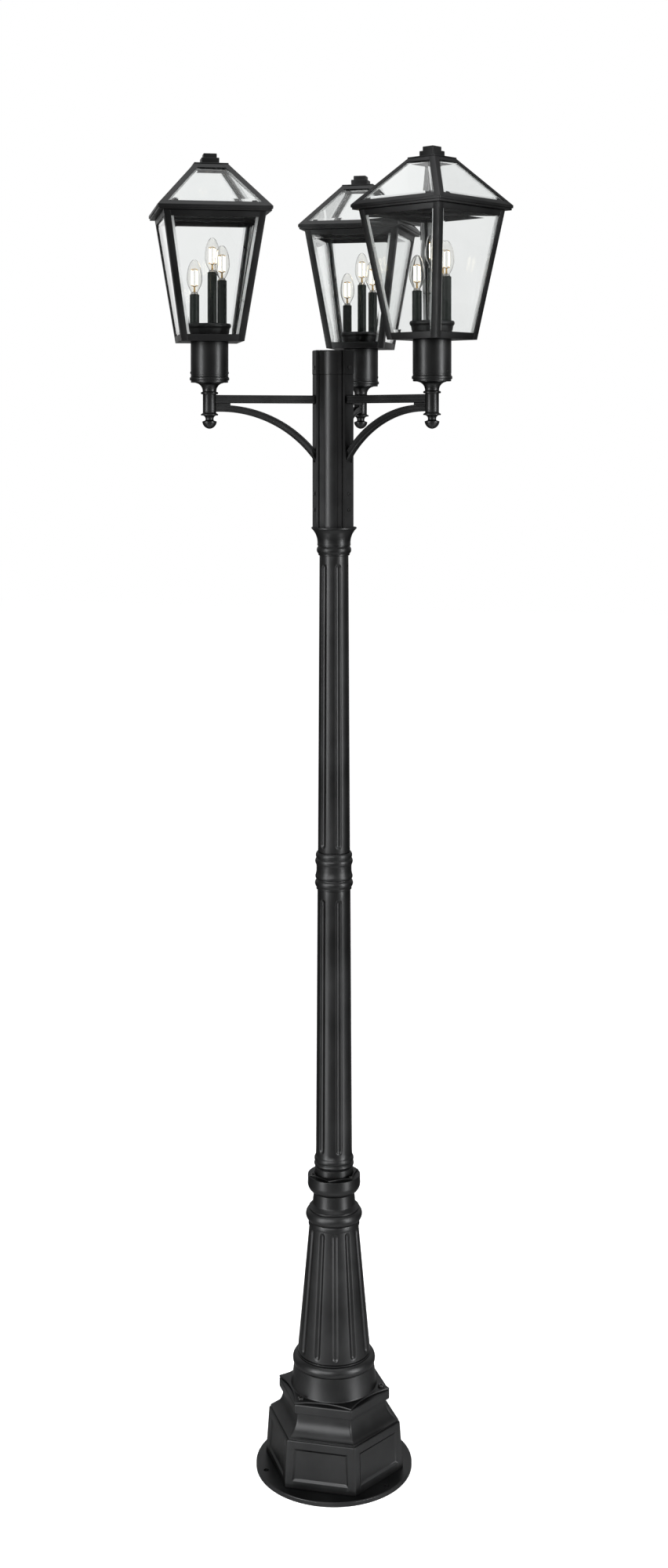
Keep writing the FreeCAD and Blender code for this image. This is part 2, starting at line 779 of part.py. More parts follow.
screw_hole = new_sketch(arm_post, "XZ_Plane", circles=[
    ("0", height, "screw_shank_radius + screw_gap") for height in ("pad_screw_low", "pad_screw_high")],
    shift=("0", "0", "-pad_reach"))
around(arm_post, [
    pocket(arm_post, arm_sockets, "bar_socket_depth", True),
    pocket(arm_post, bar_wire_way, "pad_reach - arm_post_bore_radius / 2", True),
    pocket(arm_post, screw_hole, "screw_shank_length + screw_gap", True),
], len(ARMS))
place(arm_post, arm_post_level)

cap_level = f"{arm_post_level} + arm_post_length"
cap = new_body("arm_post_cap")
pad(cap, new_sketch(cap, "XY_Plane", [padded_outline("cap_overhang")]), "cap_height")
cap_bore = new_sketch(cap, "XY_Plane", circles=[("0", "0", "cap_tenon_radius + spigot_gap")])
pocket(cap, cap_bore, "cap_height - cap_roof", True)
cap_screw_hole = new_sketch(cap, "XZ_Plane", circles=[
    ("0", "cap_screw_height", "screw_shank_radius + screw_gap")],
    shift=("0", "0", "-(pad_reach + cap_overhang)"))
around(cap, [pocket(cap, cap_screw_hole, "screw_shank_length + screw_gap", True)], len(ARMS))
place(cap, cap_level)

arm_post_screws = new_body("arm_post_screws")
post_screws = screw_group(arm_post_screws, "pad_reach", "pad_screw_low")
post_screws += screw_group(arm_post_screws, "pad_reach", "pad_screw_high")
post_screws += screw_group(arm_post_screws, "pad_reach + cap_overhang",
                           "arm_post_length + cap_screw_height")
around(arm_post_screws, post_screws, len(ARMS))
place(arm_post_screws, arm_post_level, turn=ARMS["rear"])

# Arms: a grooved bar, a bent brace under it with a packer between them, a turned hub and a drop finial

arm_level = f"{arm_post_level} + arm_height"
hub_level = f"{arm_level} - hub_drop"
hub_stack = "hub_height + hub_bead_height + hub_cup_height + hub_plate_height + hub_ring_height"
fitter_level = f"{hub_level} + {hub_stack}"
saddle_radius = "hub_radius + saddle_gap"


def bar_outline(width, level):
    """A square section with a groove along each side."""
    half = f"{width} / 2"
    groove_half = "bar_groove_width / 2"
    groove_floor = f"{half} - bar_groove_depth"
    right = [(half, f"-{half}"), (half, f"-{groove_half}"), (groove_floor, f"-{groove_half}"),
             (groove_floor, groove_half), (half, groove_half), (half, half)]
    left = [(f"-({x})", y) for x, y in reversed(right)]
    return [(x, f"{level} + {y}") for x, y in right + left]


def cut_saddle(body, level):
    """Hollows a bar's outer end to the hub's round."""
    sketch = new_sketch(body, "XY_Plane", circles=[("arm_reach", "0", saddle_radius)],
                        shift=("0", "0", f"{level} + bar_width"))
    pocket(body, sketch, "2 * bar_width")


def make_bar(side, angle):
    bar = new_body(f"arm_bar_{side}")
    start = "pad_reach - bar_socket_depth"
    section = new_sketch(bar, "YZ_Plane", [bar_outline("bar_width", "0")], [("0", "0", "bar_bore_radius")],
                         shift=("0", "0", start))
    pad(bar, section, f"arm_reach - ({start})")
    cut_saddle(bar, "0")
    place(bar, arm_level, turn=angle)


def make_brace(side, angle):
    brace = new_body(f"arm_brace_{side}")
    sweep_run = f"({bend_run} + brace_width)"
    sweep_angle = f"asin({sweep_run} / ({bend_radius}))"
    sweep_level = f"{brace_level} - {bend_radius} * (1 - cos({sweep_angle}))"
    sweep_bulge = f"{bend_radius} * (1 - cos({sweep_angle} / 2))"
    section = new_sketch(brace, "YZ_Plane", [bar_outline("brace_width", brace_level)],
                         shift=("0", "0", "arm_reach"))
    path = new_sketch(brace, "XZ_Plane")
    draw_outline(path, [("arm_reach", brace_level), (bend_start, brace_level),
                        (f"{bend_start} - {sweep_run}", sweep_level, sweep_bulge)], closed=False)
    sweep = add_feature(brace, "AdditivePipe", section)
    sweep.Spine = (path, ["Edge1", "Edge2"])
    inner_end = f"{bend_start} - {sweep_run} - 2 * bar_width"
    outer_end = "pad_reach - bar_socket_depth"
    low = f"{sweep_level} - 2 * bar_width"
    end_cut = new_sketch(brace, "XZ_Plane", [[(inner_end, low), (outer_end, low), (outer_end, "0"),
                                              (inner_end, "0")]], shift=("0", "0", "bar_width"))
    pocket(brace, end_cut, "2 * bar_width")
    packer_foot = f"{brace_level} + brace_width / 2 - packer_sink"
    packer_top = "-bar_width / 2"
    packer_end = "arm_reach - packer_reach"
    packer_half = "brace_width / 2 - packer_inset"
    packer = new_sketch(brace, "XZ_Plane", [[(packer_end, packer_foot), ("arm_reach", packer_foot),
                                             ("arm_reach", packer_top), (packer_end, packer_top)]],
                        shift=("0", "0", packer_half))
    pad(brace, packer, f"2 * ({packer_half})", True)
    cut_saddle(brace, brace_level)
    place(brace, arm_level, turn=angle)


def make_hub(side, angle):
    hub = new_body(f"arm_hub_{side}")
    _, barrel_top, bead_end, cup_end, plate_end, seat, tenon_top = levels(
        "hub_height", "hub_bead_height", "hub_cup_height", "hub_plate_height", "hub_ring_height",
        "tenon_height")
    wire_floor = "hub_drop - hub_bore_radius"
    stud_hole = "stud_radius + spigot_gap"
    revolve(hub, [
        (stud_hole, "0"),
        ("hub_radius", "0"),
        ("hub_radius", barrel_top),
        ("hub_cup_foot_radius", bead_end, "hub_bead_bulge"),
        ("hub_cup_radius", cup_end, "-hub_cup_hollow"),
        ("hub_plate_radius", cup_end),
        ("hub_plate_radius", plate_end),
        ("hub_ring_radius", plate_end),
        ("hub_ring_radius", seat),
        ("tenon_radius", seat),
        ("tenon_radius", tenon_top),
        ("hub_bore_radius", tenon_top),
        ("hub_bore_radius", wire_floor),
        ("0", wire_floor),
        ("0", "stud_length"),
        (stud_hole, "stud_length"),
    ])
    wire_way = new_sketch(hub, "YZ_Plane", circles=[("0", "hub_drop", "bar_bore_radius")],
                          shift=("0", "0", "-2 * hub_radius"))
    pocket(hub, wire_way, "2 * hub_radius", True)
    x, y = turned("arm_reach", "0", angle)
    place(hub, hub_level, x, y, angle)


def make_drop_finial(side, angle):
    drop = new_body(f"drop_finial_{side}")
    rim_level = "-drop_rim_height"
    neck_level = f"{rim_level} - drop_neck_height"
    acorn_level = f"{neck_level} - drop_shoulder_height"
    revolve(drop, [
        ("0", f"{acorn_level} - drop_tip_height"),
        ("drop_tip_radius", f"{acorn_level} - drop_tip_height"),
        ("drop_acorn_radius", acorn_level, "drop_tip_bulge"),
        ("drop_neck_radius", neck_level),
        ("drop_rim_radius", rim_level, "-drop_neck_hollow"),
        ("hub_radius", "0"),
        ("stud_radius", "0"),
        ("stud_radius", "stud_length"),
        ("0", "stud_length"),
    ])
    x, y = turned("arm_reach", "0", angle)
    place(drop, hub_level, x, y, angle)


# Lanterns: fitter, cage and roof, with bevelled panes behind the frames

cage_level = f"{fitter_level} + fitter_height"
roof_level = f"{cage_level} + cage_height"
cage_lean = "atan((cage_top_half - cage_foot_half) / cage_height)"
cage_slant = f"cage_height / cos({cage_lean})"
roof_lean = "atan((eave_half - roof_top_half) / roof_rise)"
roof_slant = f"roof_rise / cos({roof_lean})"


def leaning_sketch(body, foot_half, foot_level, lean, depth, outline):
    """A sketch on a plane under the sloping side that faces -Y, its height measured up the slope."""
    shift = ("0", f"{foot_level} + ({depth}) * sin({lean})", f"{foot_half} - ({depth}) * cos({lean})")
    return new_sketch(body, "XZ_Plane", [outline], shift=shift, turn=(FreeCAD.Vector(1, 0, 0), lean))


def tapered_outline(foot_half, lean, depth, margin, low, high, inset="0"):
    """A four-sided outline that keeps a margin to the corners of a sloping side."""
    def half_width(height):
        climb = f"(({height}) * cos({lean}) + ({depth}) * sin({lean}))"
        return f"{foot_half} + {climb} * tan({lean}) - ({margin}) - ({inset})"

    foot = f"({low}) + ({inset})"
    head = f"({high}) - ({inset})"
    return [(f"-({half_width(foot)})", foot), (half_width(foot), foot),
            (half_width(head), head), (f"-({half_width(head)})", head)]


def cut_windows(body, foot_half, foot_level, lean, margin, low, high, depth):
    """Opens the same window in all four sloping sides."""
    outline = tapered_outline(foot_half, lean, "0", margin, low, high)
    sketch = leaning_sketch(body, foot_half, foot_level, lean, "0", outline)
    around(body, [pocket(body, sketch, depth)], LANTERN_SIDES)


def make_panes(label, foot_half, foot_level, lean, depth, margin, low, high):
    """Four bevelled panes, each under its own sloping side."""
    panes = new_body(label)
    step = f"{depth} + bevel_depth"
    full = tapered_outline(foot_half, lean, depth, margin, low, high)
    inner = tapered_outline(foot_half, lean, depth, margin, low, high, "bevel_width")
    face = leaning_sketch(panes, foot_half, foot_level, lean, depth, inner)
    arris = leaning_sketch(panes, foot_half, foot_level, lean, step, full)
    back = leaning_sketch(panes, foot_half, foot_level, lean, step, full)
    slab = pad(panes, back, "glass_thickness - bevel_depth", True)
    bevel = loft(panes, "AdditiveLoft", arris, face)
    around(panes, [slab, bevel], LANTERN_SIDES)
    return panes


def flat_square(body, half, level):
    return new_sketch(body, "XY_Plane", [square(half)], shift=("0", "0", level))


def make_fitter(side, x, y, turn):
    fitter = new_body(f"fitter_{side}")
    bore = "tenon_radius + spigot_gap"
    skin = f"{bore} + fitter_wall"
    revolve(fitter, [(bore, "0"), (skin, "0"), (skin, "fitter_height"), (bore, "fitter_height")])
    tapped = new_sketch(fitter, "YZ_Plane", circles=[
        ("0", "set_screw_height", "set_screw_radius + screw_gap")], shift=("0", "0", "tenon_radius"))
    around(fitter, [pocket(fitter, tapped, "2 * fitter_wall", True)], "set_screw_count")
    screw = new_sketch(fitter, "YZ_Plane", circles=[("0", "set_screw_height", "set_screw_radius")],
                       shift=("0", "0", bore))
    around(fitter, [pad(fitter, screw, "fitter_wall + set_screw_proud")], "set_screw_count")
    place(fitter, fitter_level, x, y, turn)


def make_cage(side, x, y, turn):
    cage = new_body(f"cage_{side}")
    loft(cage, "AdditiveLoft", flat_square(cage, "cage_foot_half", "0"),
         flat_square(cage, "cage_top_half", "cage_height"))
    floor_half = f"cage_foot_half + cage_floor * tan({cage_lean}) - cage_wall"
    loft(cage, "SubtractiveLoft", flat_square(cage, floor_half, "cage_floor"),
         flat_square(cage, "cage_top_half - cage_wall", "cage_height"))
    cut_windows(cage, "cage_foot_half", "0", cage_lean, "cage_post_width", "cage_foot_rail",
                f"{cage_slant} - cage_head_rail", "2 * cage_wall")
    ledge_outer = "cage_top_half - cage_wall / 2"
    ledge_inner = "cage_top_half - cage_wall - ledge_width"
    ledge = new_sketch(cage, "XY_Plane", [square(ledge_outer), square(ledge_inner)],
                       shift=("0", "0", "cage_height"))
    pad(cage, ledge, "ledge_thickness", True)
    notch_outer = f"cage_top_half - cage_wall - ledge_thickness * tan({cage_lean})"
    notch_inner = f"{notch_outer} - ledge_notch"
    notch = new_sketch(cage, "XY_Plane", [[(notch_inner, notch_inner), (notch_outer, notch_inner),
                                           (notch_outer, notch_outer), (notch_inner, notch_outer)]],
                       shift=("0", "0", "cage_height"))
    around(cage, [pocket(cage, notch, "ledge_thickness")], LANTERN_SIDES)
    wire_hole = new_sketch(cage, "XY_Plane", circles=[("0", "0", "wire_hole_radius")])
    pocket(cage, wire_hole, "cage_floor", True)
    place(cage, cage_level, x, y, turn)

    depth = f"cage_wall * cos({cage_lean}) + pane_gap"
    margin = "cage_wall + glass_thickness + 2 * pane_gap"
    low = f"(cage_floor + pane_gap - ({depth}) * sin({cage_lean})) / cos({cage_lean})"
    head = "cage_height - ledge_thickness - pane_gap"
    high = f"({head} - ({depth} + glass_thickness) * sin({cage_lean})) / cos({cage_lean})"
    panes = make_panes(f"side_glass_{side}", "cage_foot_half", "0", cage_lean, depth, margin, low, high)
    place(panes, cage_level, x, y, turn)


def make_roof(side, x, y, turn):
    roof = new_body(f"roof_frame_{side}")
    lean = f"-{roof_lean}"
    skin_run = f"roof_wall / cos({roof_lean})"
    roof_top = "eave_height + roof_rise"
    pad(roof, flat_square(roof, "eave_half", "0"), "eave_height")
    loft(roof, "AdditiveLoft", flat_square(roof, "eave_half", "eave_height"),
         flat_square(roof, "roof_top_half", roof_top))
    pad(roof, flat_square(roof, "roof_top_half", roof_top), "roof_plate_height")
    loft(roof, "SubtractiveLoft", flat_square(roof, f"eave_half - {skin_run}", "eave_height"),
         flat_square(roof, f"roof_top_half - {skin_run}", roof_top))
    pocket(roof, flat_square(roof, f"eave_half - {skin_run}", "eave_height"),
           "eave_height - eave_flange_thickness")
    pocket(roof, flat_square(roof, "eave_half - eave_flange_width", "eave_flange_thickness"),
           "eave_flange_thickness")
    cut_windows(roof, "eave_half", "eave_height", lean, "roof_hip_width", "roof_foot_rail",
                f"{roof_slant} - roof_head_rail", "2 * roof_wall")
    place(roof, roof_level, x, y, turn)

    depth = "roof_wall + pane_gap"
    margin = "roof_wall + glass_thickness + 2 * pane_gap"
    low = f"({depth} + glass_thickness) * tan({roof_lean})"
    high = f"(roof_rise - pane_gap) / cos({roof_lean})"
    panes = make_panes(f"roof_glass_{side}", "eave_half", "eave_height", lean, depth, margin, low, high)
    place(panes, roof_level, x, y, turn)

    finial = new_body(f"roof_finial_{side}")
    pad(finial, flat_square(finial, "finial_base_half", "0"), "finial_base_height")
    pad(finial, flat_square(finial, "finial_cap_half", "finial_base_height"), "finial_cap_height")
    place(finial, f"{roof_level} + {roof_top} + roof_plate_height", x, y, turn)


# Lamps: a cup on the lantern's floor, three candle sleeves of different heights, their sockets and bulbs

cup_level = f"{cage_level} + cage_floor"
_, cup_foot_top, cup_flare_top, cup_rim_top, cup_top = levels(
    "cup_foot_height", "cup_flare_height", "cup_rim_height", "cup_edge_height")
sleeve_bore = "sleeve_radius - sleeve_wall"


def make_cup(side, x, y):
    cup = new_body(f"lamp_cup_{side}")
    rim = "cluster_radius + sleeve_radius + cup_rim_margin"
    revolve(cup, [
        ("wire_hole_radius", "0"),
        ("cup_foot_radius", "0"),
        ("cup_waist_radius", cup_foot_top),
        (rim, cup_flare_top),
        (rim, cup_rim_top),
        (f"{rim} - cup_edge", cup_top),
        ("wire_hole_radius", cup_top),
    ])
    place(cup, cup_level, x, y, "cluster_turn")


def make_sleeves(side, x, y):
    sleeves = new_body(f"candle_sleeves_{side}")
    sockets = new_body(f"lamp_sockets_{side}")
    for height, angle in CANDLES.items():
        centre = turned("cluster_radius", "0", angle)
        length = f"sleeve_{height}"
        tube = new_sketch(sleeves, "XY_Plane", circles=[(*centre, "sleeve_radius"), (*centre, sleeve_bore)])
        pad(sleeves, tube, length)
        socket_foot = f"{length} - socket_sink - socket_height"
        stem = new_sketch(sockets, "XY_Plane", circles=[(*centre, "stem_radius")])
        pad(sockets, stem, socket_foot)
        shell = new_sketch(sockets, "XY_Plane", circles=[(*centre, f"{sleeve_bore} - socket_gap")],
                           shift=("0", "0", socket_foot))
        pad(sockets, shell, "socket_height")
        mouth = new_sketch(sockets, "XY_Plane", circles=[(*centre, "bulb_thread_radius + thread_gap")],
                           shift=("0", "0", f"{length} - socket_sink"))
        pocket(sockets, mouth, "socket_depth")
    for group in (sleeves, sockets):
        place(group, f"{cup_level} + {cup_top}", x, y, "cluster_turn")


def make_bulb(side, height, angle, x, y):
    name = f"bulb_{height}_{side}"
    thread_foot = "-(socket_sink + socket_depth)"
    collar_top = "bulb_collar_height"
    belly = f"{collar_top} + bulb_belly_height"
    shoulder = f"{belly} + bulb_shoulder_height"
    tip = f"{belly} + bulb_tip_height"

    screw_cap = new_body(f"{name}_cap", is_node=False)
    revolve(screw_cap, [
        ("0", thread_foot),
        ("bulb_thread_radius", thread_foot),
        ("bulb_thread_radius", "0"),
        ("bulb_collar_radius", "0"),
        ("bulb_collar_radius", collar_top),
        ("0", collar_top),
    ])
    envelope = new_body(f"{name}_envelope", is_node=False)
    revolve(envelope, [
        ("bulb_neck_radius", collar_top),
        ("bulb_radius", belly, "bulb_belly_bulge"),
        ("bulb_shoulder_radius", shoulder, "bulb_shoulder_bulge"),
        ("bulb_tip_radius", tip, "bulb_tip_bulge"),
        ("0", tip),
        ("0", f"{tip} - bulb_wall"),
        ("bulb_tip_radius", f"{tip} - bulb_wall"),
        ("bulb_shoulder_radius - bulb_wall", shoulder, "-bulb_tip_bulge"),
        ("bulb_radius - bulb_wall", belly, "-bulb_shoulder_bulge"),
        ("bulb_neck_radius - bulb_wall", collar_top, "-bulb_belly_bulge"),
    ])
    filament = new_body(f"{name}_filament", is_node=False)
    mount = new_sketch(filament, "XY_Plane", circles=[("0", "0", "mount_radius")],
                       shift=("0", "0", collar_top))
    pad(filament, mount, "mount_height")
    rod_foot = f"{collar_top} + mount_height"
    plate_half = "filament_spread + filament_half"
    for level in (rod_foot, f"{rod_foot} + filament_plate + filament_length"):
        pad(filament, flat_square(filament, plate_half, level), "filament_plate")
    rod = [(f"filament_spread + {u}", f"filament_spread + {v}") for u, v in square("filament_half")]
    rod_sketch = new_sketch(filament, "XY_Plane", [rod], shift=("0", "0", f"{rod_foot} + filament_plate"))
    around(filament, [pad(filament, rod_sketch, "filament_length")], "filament_count")

    bulb = doc.addObject("Part::Compound", name)
    bulb.Label = name
    bulb.Links = [screw_cap, envelope, filament]
    nodes.append(bulb)
    across, along = turned("cluster_radius", "0", f"({angle} + cluster_turn)")
    place(bulb, f"{cup_level} + {cup_top} + sleeve_{height}", f"{x} + {across}", f"{y} + {along}")


for side, angle in ARMS.items():
    make_bar(side, angle)
    make_brace(side, angle)
    make_hub(side, angle)
    make_drop_finial(side, angle)
    x, y = turned("arm_reach", "0", angle)
    lantern_turn = f"{angle} + {side}_turn"
    make_fitter(side, x, y, lantern_turn)
    make_cage(side, x, y, lantern_turn)
    make_roof(side, x, y, lantern_turn)
    make_cup(side, x, y)
    make_sleeves(side, x, y)
    for height, candle_angle in CANDLES.items():
        make_bulb(side, height, candle_angle, x, y)

doc.recompute()

# Tests of the finished document, then one file for each piece

for item in doc.Objects:
    if "Invalid" in item.State or "Error" in item.State:
        raise RuntimeError(f"{item.Label} failed: {item.State}")
for node in nodes:
    if node.Shape.isNull() or not node.Shape.isValid():
        raise RuntimeError(f"{node.Label} has no valid shape")

os.makedirs("parts", exist_ok=True)
for node in nodes:
    node.Shape.exportStep(f"parts/{node.Label}.step")
    print(node.Label, len(node.Shape.Solids), "solids", round(node.Shape.Volume / 1000, 1), "cm3")
print(len(nodes), "nodes")
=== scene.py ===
import math

import bpy
import numpy as np
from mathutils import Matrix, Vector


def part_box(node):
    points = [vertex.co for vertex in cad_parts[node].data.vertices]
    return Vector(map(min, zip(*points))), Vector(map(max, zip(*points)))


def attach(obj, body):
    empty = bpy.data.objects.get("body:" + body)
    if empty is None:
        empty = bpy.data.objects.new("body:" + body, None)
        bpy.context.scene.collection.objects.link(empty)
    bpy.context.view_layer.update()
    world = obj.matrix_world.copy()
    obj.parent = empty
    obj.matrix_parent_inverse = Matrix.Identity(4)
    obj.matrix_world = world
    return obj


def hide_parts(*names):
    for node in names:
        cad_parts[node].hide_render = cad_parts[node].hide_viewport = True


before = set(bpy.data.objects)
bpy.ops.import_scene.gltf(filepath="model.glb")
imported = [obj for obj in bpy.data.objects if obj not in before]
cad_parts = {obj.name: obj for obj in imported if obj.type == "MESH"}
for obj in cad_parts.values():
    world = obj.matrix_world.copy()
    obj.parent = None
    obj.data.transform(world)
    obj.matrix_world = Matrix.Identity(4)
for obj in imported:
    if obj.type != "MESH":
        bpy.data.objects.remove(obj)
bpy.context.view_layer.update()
print("frame loaded:", len(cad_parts), "nodes")

mm = 0.001  # shapes are worked out in millimetres and put into the mesh in metres
fullTurn = 2 * math.pi
quarter = 90  # degrees
armHeadings = {"rear": 90, "left": 210, "right": 330}  # degrees from +X
lanternHeadings = {"rear": 90, "left": 203, "right": 330}  # the left lantern is turned a little on its arm
hexSides, squareSides = 6, 4
hexTurn = fullTurn / hexSides
upward = np.array([0.0, 0.0, 1.0])
white = (1, 1, 1, 1)


def nodeBox(node):
    low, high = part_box(node)
    return np.array(low) / mm, np.array(high) / mm


def standing(node):
    # the level of a node's foot, and its height
    low, high = nodeBox(node)
    return low[2], high[2] - low[2]


def heading(degrees):
    return np.array([math.cos(math.radians(degrees)), math.sin(math.radians(degrees)), 0.0])


def fourFaces(degrees):
    # the outward and the sideways direction of each face of a square
    turns = [degrees + quarter * face for face in range(squareSides)]
    return [(heading(turn), heading(turn + quarter)) for turn in turns]


def addObject(name, data):
    thing = bpy.data.objects.new(name, data)
    bpy.context.scene.collection.objects.link(thing)
    return thing


# materials
# each finish reads object coordinates, so that grain and mottling stay put on the piece

noiseSpan = (0.3, 0.7)  # most of a noise lies between these
noiseDetail = 3.0


def newFinish(name):
    finish = bpy.data.materials.new(name)
    finish.use_nodes = True
    tree = finish.node_tree
    return finish, tree, tree.nodes["Principled BSDF"]


def wire(tree, node, sockets):
    # each socket takes a link from another node, or a value of its own
    for name, source in sockets.items():
        if isinstance(source, bpy.types.NodeSocket):
            tree.links.new(source, node.inputs[name])
        else:
            node.inputs[name].default_value = source


def addNode(tree, kind, sockets=None, operation=None):
    node = tree.nodes.new(f"ShaderNode{kind}")
    if operation:
        node.operation = operation
    wire(tree, node, sockets or {})
    return node


def reckon(tree, operation, first, second):
    node = addNode(tree, "Math", {0: first, 1: second}, operation)
    node.use_clamp = True
    return node.outputs["Value"]


def noise(tree, scale, detail=noiseDetail, stretch=None):
    where = addNode(tree, "TexCoord").outputs["Object"]
    if stretch:
        where = addNode(tree, "Mapping", {"Vector": where, "Scale": stretch}).outputs["Vector"]
    return addNode(tree, "TexNoise", {"Vector": where, "Scale": scale, "Detail": detail}).outputs["Fac"]


def blendColour(tree, amount, first, last):
    ramp = addNode(tree, "ValToRGB", {"Fac": amount})
    for stop, place, colour in zip(ramp.color_ramp.elements, noiseSpan, (first, last)):
        stop.position, stop.color = place, colour
    return ramp.outputs["Color"]


def blendValue(tree, amount, first, last, span=noiseSpan):
    ends = {"From Min": span[0], "From Max": span[1], "To Min": first, "To Max": last}
    return addNode(tree, "MapRange", {"Value": amount, **ends}).outputs["Result"]


def mixColour(tree, amount, first, last):
    mix = tree.nodes.new("ShaderNodeMix")
    mix.data_type = "RGBA"
    wire(tree, mix, {"Factor": amount, "A": first, "B": last})
    return mix.outputs["Result"]


def mixShaders(tree, amount, first, last, output):
    mix = addNode(tree, "MixShader", {"Fac": amount, 1: first, 2: last})
    wire(tree, tree.nodes[output], {"Surface": mix.outputs["Shader"]})


def grain(tree, height, strength, depth):
    sockets = {"Height": height, "Strength": strength, "Distance": depth}
    return addNode(tree, "Bump", sockets).outputs["Normal"]


brushed = {"detail": 4.0, "stretch": (1, 1, 6), "metallic": 1.0, "specular": 0.5}
dull = {"detail": noiseDetail, "stretch": None, "metallic": 0.0, "specular": 0.5}
streaked = {
    "blackPowderCoat": dict(
        dull, dark=(0.037, 0.0375, 0.038, 1), light=(0.051, 0.0515, 0.0523, 1), smooth=0.33, rough=0.43,
        scale=11, metallic=1.0, rim=(0.5, 0.5, 0.5, 1),
        grain=850, grainDetail=2.0, depth=0.00025, strength=0.22),
    "blackScrew": dict(
        brushed, dark=(0.012, 0.012, 0.012, 1), light=(0.03, 0.03, 0.03, 1), smooth=0.3, rough=0.45,
        scale=300, metallic=0.6),
    "nickelNeck": dict(
        brushed, dark=(0.5, 0.48, 0.45, 1), light=(0.72, 0.7, 0.67, 1), smooth=0.15, rough=0.3, scale=160),
    "brassStem": dict(
        brushed, dark=(0.55, 0.34, 0.1, 1), light=(0.8, 0.55, 0.2, 1), smooth=0.18, rough=0.35, scale=260),
    "candleSleeve": dict(
        dull, dark=(0.0035, 0.0065, 0.005, 1), light=(0.008, 0.0125, 0.01, 1), smooth=0.18, rough=0.3,
        scale=35, stretch=(1, 1, 0.15), specular=0.4),
    "lampCeramic": dict(
        dull, dark=(0.62, 0.6, 0.55, 1), light=(0.75, 0.73, 0.69, 1), smooth=0.3, rough=0.5, scale=90),
}


def streakedFinish(name):
    look = streaked[name]
    finish, tree, shader = newFinish(name)
    streak = noise(tree, look["scale"], look["detail"], look["stretch"])
    wire(tree, shader, {
        "Base Color": blendColour(tree, streak, look["dark"], look["light"]),
        "Roughness": blendValue(tree, streak, look["smooth"], look["rough"]),
        "Metallic": look["metallic"], "Specular IOR Level": look["specular"],
    })
    if "grain" in look:
        # the texture of the coat hardly shines at a glance, so its reflection gets a dim rim
        bumps = grain(tree, noise(tree, look["grain"], look["grainDetail"]), look["strength"], look["depth"])
        wire(tree, shader, {"Normal": bumps, "Specular Tint": look["rim"]})
    return finish


glass = {"ripple": 9, "detail": 2.0, "depth": 0.0006, "strength": 0.05, "smooth": 0.0, "rough": 0.03,
         "gleam": 0.45, "ior": 1.46}
glasses = {
    "paneGlass": dict(glass, thin=(0.945, 0.953, 0.95, 1), thick=(0.92, 0.93, 0.926, 1)),
    "roofGlass": dict(glass, thin=(0.905, 0.915, 0.912, 1), thick=(0.88, 0.893, 0.889, 1)),
    "bevelGlass": dict(
        glass, thin=(0.995, 0.997, 0.997, 1), thick=(0.95, 0.96, 0.957, 1), ripple=45, depth=0.001,
        strength=0.3, smooth=0.25, rough=0.5, gleam=0.9),
    # a bulb's edge colour is painted shade for its dark outline, in part the longer way through its wall
    "bulbGlass": dict(
        glass, thin=(0.985, 0.98, 0.97, 1), thick=(0.96, 0.955, 0.94, 1), ripple=40, depth=0.0002,
        strength=0.04, gleam=0.5, edge=(0.5, 0.51, 0.51, 1)),
}
edgeShadeTurn = (0.5, 0.95)  # how far a bulb's wall has turned from the eye where the painted shade of its edge comes in


def glassFinish(name):
    look = glasses[name]
    finish, tree, shader = newFinish(name)
    cloud = noise(tree, look["ripple"], look["detail"])
    colour = blendColour(tree, cloud, look["thin"], look["thick"])
    if "edge" in look:
        # at its edge a bulb's wall is looked through lengthwise, and its colour is painted darker there: in
        # part for the longer way through the glass, in part as painted shade for the dark outline that bent
        # light gives
        facing = addNode(tree, "LayerWeight").outputs["Facing"]
        colour = mixColour(tree, blendValue(tree, facing, 0.0, 1.0, edgeShadeTurn), colour, look["edge"])
    wire(tree, shader, {
        "Base Color": colour, "Roughness": blendValue(tree, cloud, look["smooth"], look["rough"]),
        "Normal": grain(tree, cloud, look["strength"], look["depth"]),
        "Transmission Weight": 1.0, "IOR": look["ior"], "Specular Tint": (*[look["gleam"]] * 3, 1),
    })
    # light goes through a pane unbent, so that the lamps reach what stands behind it
    path = addNode(tree, "LightPath").outputs
    unbent = reckon(tree, "MAXIMUM", path["Is Shadow Ray"], path["Is Diffuse Ray"])
    clear = addNode(tree, "BsdfTransparent", {"Color": look["thin"]})
    mixShaders(tree, unbent, shader.outputs["BSDF"], clear.outputs["BSDF"], "Material Output")
    return finish


glow = {"core": (1.0, 0.94, 0.8, 1), "edge": (1.0, 0.8, 0.46, 1), "strength": 3.8, "scale": 400}


def glowFinish():
    finish, tree, shader = newFinish("glowingFilament")
    colour = blendColour(tree, noise(tree, glow["scale"]), glow["core"], glow["edge"])
    wire(tree, shader, {
        "Emission Color": colour, "Emission Strength": glow["strength"], "Base Color": glow["core"],
    })
    return finish


# each finish with the slot it belongs to
finishes = {
    "coat": (streakedFinish("blackPowderCoat"), "black_coat"),
    "screw": (streakedFinish("blackScrew"), "screw_steel"),
    "nickel": (streakedFinish("nickelNeck"), "screw_steel"),
    "brass": (streakedFinish("brassStem"), "screw_steel"),
    "pane": (glassFinish("paneGlass"), "pane_glass"),
    "roofPane": (glassFinish("roofGlass"), "pane_glass"),
    "bevel": (glassFinish("bevelGlass"), "pane_glass"),
    "bulb": (glassFinish("bulbGlass"), "bulb_glass"),
    "glow": (glowFinish(), "bulb_glass"),
    "sleeve": (streakedFinish("candleSleeve"), "candle_sleeve"),
    "ceramic": (streakedFinish("lampCeramic"), "lamp_socket"),
}


def paint(node, finish):
    # for the solids of the frame that are kept
    slots = bpy.data.objects[node].data.materials
    slots.clear()
    slots.append(finishes[finish][0])


print("finishes made:", len(finishes))


# lines

bowSteps, cornerSteps = 10, 4


